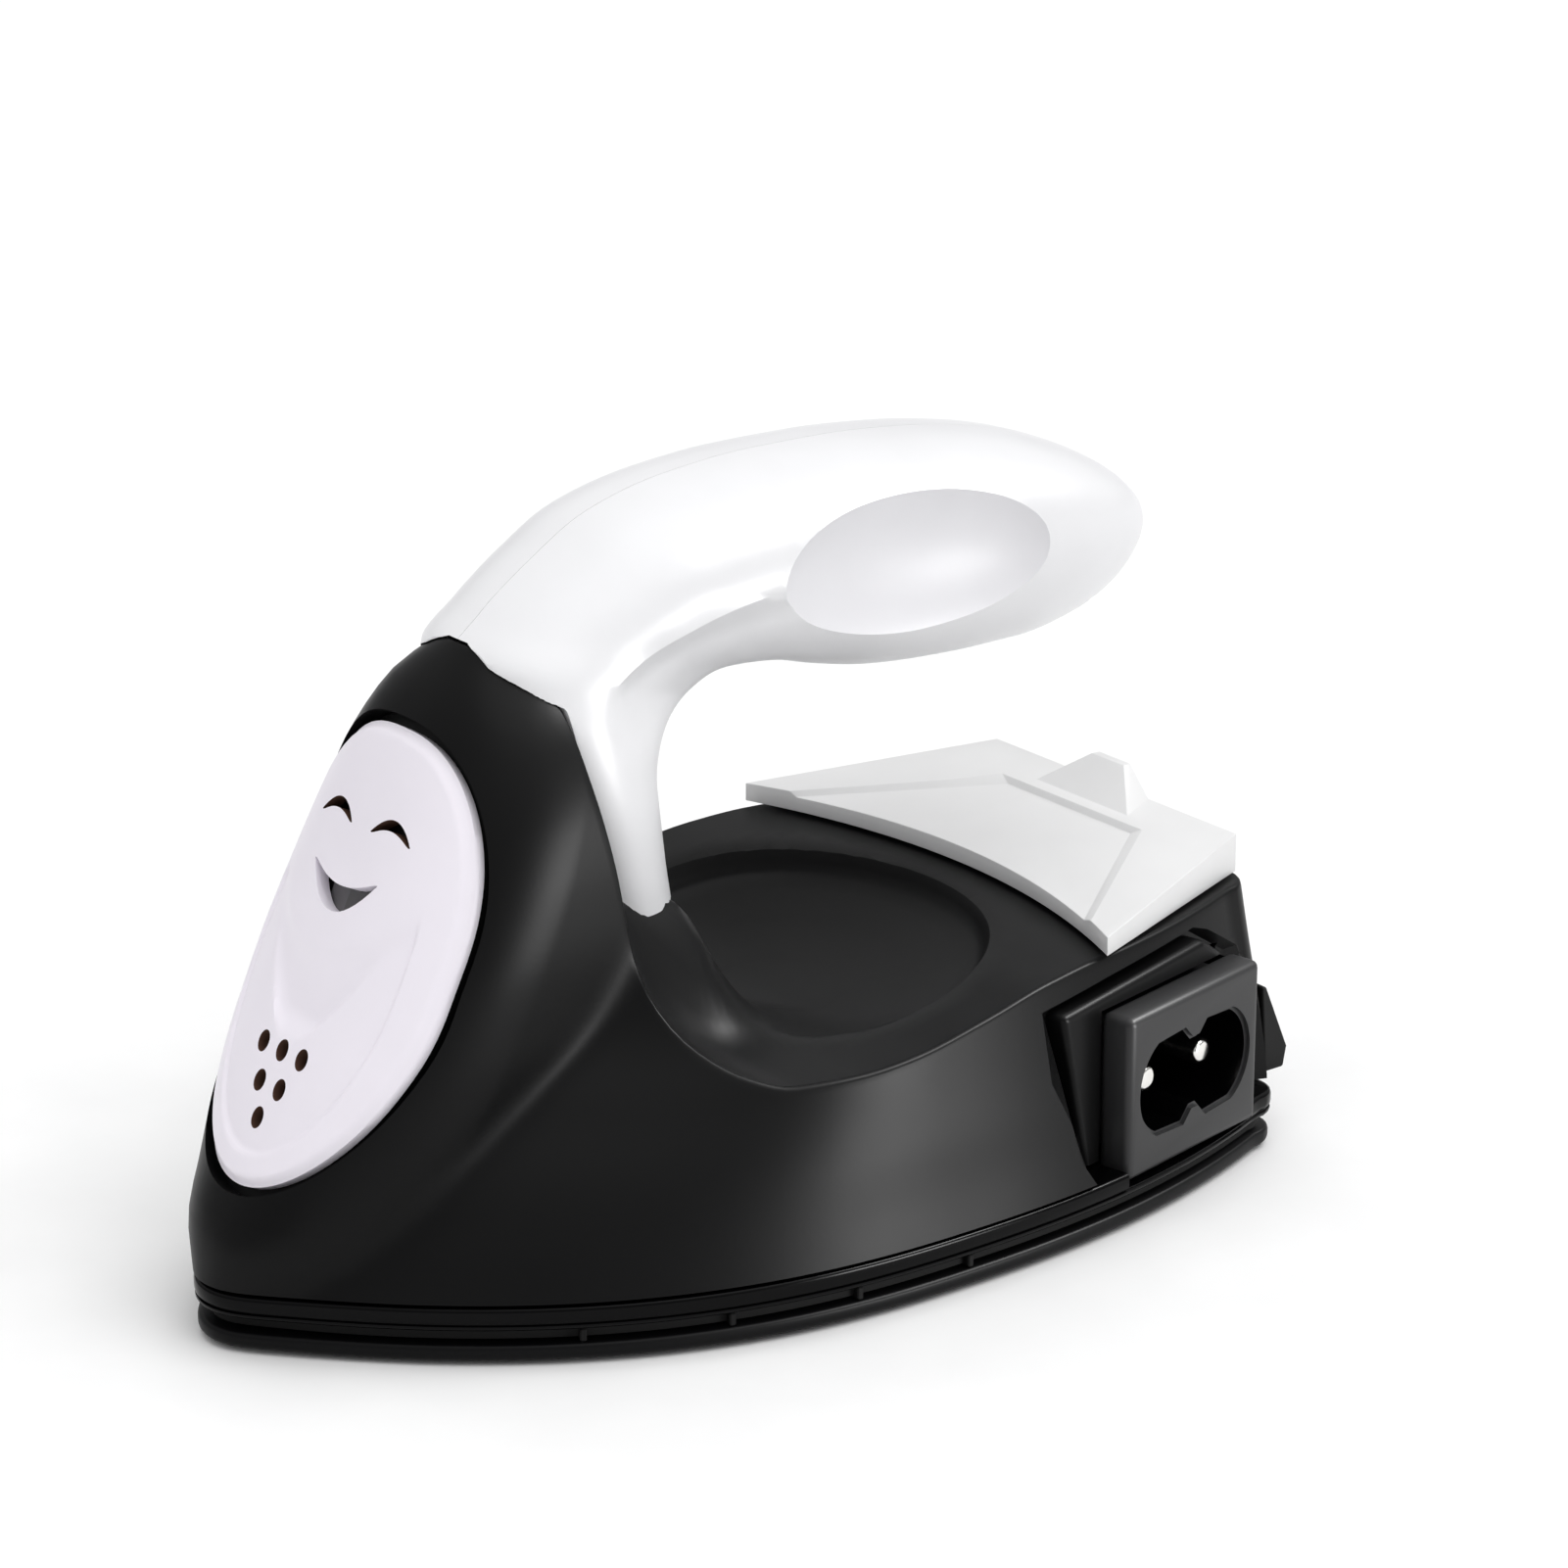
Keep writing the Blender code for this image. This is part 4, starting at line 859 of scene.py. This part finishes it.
def socket_outline(grow=0.0):
    """Socket of two rounded ends and a notch above and below the middle."""
    half_length, radius = SOCKET[0] / 2 + grow, SOCKET[1] / 2 + grow
    centre = half_length - radius
    points = []
    for side in (1, -1):
        for angle in np.linspace(-62, 62, 17):
            turn = math.radians(angle)
            points.append((side * (centre + radius * math.cos(turn)), side * radius * math.sin(turn)))
        points.append((side * 1.7, side * radius * 0.93))
        points.append((side * 0.5, side * (radius - 1.6)))
        points.append((-side * 0.5, side * (radius - 1.6)))
        points.append((-side * 1.7, side * radius * 0.93))
    return points


def build_inlet():
    body = add_piece("inlet_face", inlet_block(0.0, -INLET_REACH + 0.1, 0.0), INLET_BLACK)
    bevel(body, 0.8, 4)
    cut(body, inlet_prism(socket_outline(0.35), -0.4, 1.0))
    cut(body, at_inlet(box((-15.0, -3.0), (-9.1, 9.1), (-5.2, 6.4))), "UNION")
    cut(body, inlet_prism(socket_outline(), -12.0, 1.0), material=GLOSS_BLACK)
    for side in (-1, 1):
        cut(body, inlet_rod(side, PIN_RADIUS + 0.2, -10.0, 16.0, 32), material=GLOSS_BLACK)
    smooth(body, 35.0)
    stand_for(body, "inlet_body")
    for name, side in (("front", -1), ("rear", 1)):
        pin = add_piece(f"contact_pin_{name}", inlet_rod(side, PIN_RADIUS, -7.45, 10.5, 40), NICKEL)
        bevel(pin, 0.45, 4)
        smooth(pin, 50.0)
        stand_for(pin, f"inlet_pin_{name}")


build_base()
build_housing()
build_collar()
build_panel()
build_handle()
build_heel()
build_inlet()


# --- studio ---


def build_camera():
    camera = bpy.data.objects.new("camera", bpy.data.cameras.new("camera"))
    bpy.context.scene.collection.objects.link(camera)
    azimuth, elevation, roll = (math.radians(angle) for angle in CAMERA_TURN)
    level = math.cos(elevation)
    back = Vector((math.sin(azimuth) * level, -math.cos(azimuth) * level, math.sin(elevation)))
    right = (-back).cross(Vector((0, 0, 1))).normalized()
    up = right.cross(-back)
    level_right = right * math.cos(roll) + up * math.sin(roll)
    level_up = up * math.cos(roll) - right * math.sin(roll)
    turn = Matrix((level_right, level_up, back)).transposed().to_4x4()
    camera.matrix_world = Matrix.Translation(Vector(CAMERA_TARGET) + back * CAMERA_DISTANCE) @ turn
    camera.data.sensor_width = 36.0
    camera.data.lens = CAMERA_LENS
    camera.data.shift_x, camera.data.shift_y = CAMERA_SHIFT
    camera.data.clip_start = 0.01
    bpy.context.scene.camera = camera


def highlight(name, direction, distance, size, power):
    """Soft box that only shows as a reflection, aimed at the iron."""
    light = bpy.data.lights.new(name, "AREA")
    light.shape = "RECTANGLE"
    light.size, light.size_y = size
    light.energy = power
    obj = bpy.data.objects.new(name, light)
    bpy.context.scene.collection.objects.link(obj)
    obj.location = Vector(direction).normalized() * distance
    obj.rotation_euler = Vector(direction).to_track_quat("Z", "Y").to_euler()
    obj.visible_diffuse = False
    obj.visible_camera = False


def build_studio():
    bm = bmesh.new()
    bmesh.ops.create_grid(bm, x_segments=2, y_segments=2, size=3.0)
    mesh = bpy.data.meshes.new("studio_floor")
    bm.to_mesh(mesh)
    bm.free()
    mesh.materials.append(plastic("floor_paper", (0.97, 0.97, 0.97), 0.9, grain=0.01, shift=0.02))
    floor = bpy.data.objects.new("studio_floor", mesh)
    floor.location = (0, 0, -0.0004)
    bpy.context.scene.collection.objects.link(floor)
    world = bpy.data.worlds.new("studio")
    world.use_nodes = True
    nodes, links = world.node_tree.nodes, world.node_tree.links
    place = nodes.new("ShaderNodeTexCoord")
    split = nodes.new("ShaderNodeSeparateXYZ")
    ramp = nodes.new("ShaderNodeValToRGB")
    ramp.color_ramp.elements[0].position, ramp.color_ramp.elements[1].position = 0.05, 0.75
    ramp.color_ramp.elements[0].color = (0.34, 0.34, 0.35, 1.0)
    ramp.color_ramp.elements[1].color = (1.0, 1.0, 1.0, 1.0)
    links.new(place.outputs["Generated"], split.inputs["Vector"])
    links.new(split.outputs["Z"], ramp.inputs["Fac"])
    links.new(ramp.outputs["Color"], nodes["Background"].inputs["Color"])
    nodes["Background"].inputs["Strength"].default_value = 0.84
    bpy.context.scene.world = world
    sun = bpy.data.lights.new("overhead", "SUN")
    sun.energy = 1.25
    sun.angle = math.radians(70)
    obj = bpy.data.objects.new("overhead", sun)
    obj.rotation_euler = (math.radians(-12), math.radians(18), 0)
    bpy.context.scene.collection.objects.link(obj)
    highlight("side_box", (0.20, 0.085, 0.03), 0.23, (0.08, 0.06), 0.42)
    highlight("edge_box", (0.35, 0.57, 0.75), 0.60, (0.30, 0.16), 5.0)
    bpy.context.scene.view_settings.view_transform = "Standard"


build_camera()
build_studio()
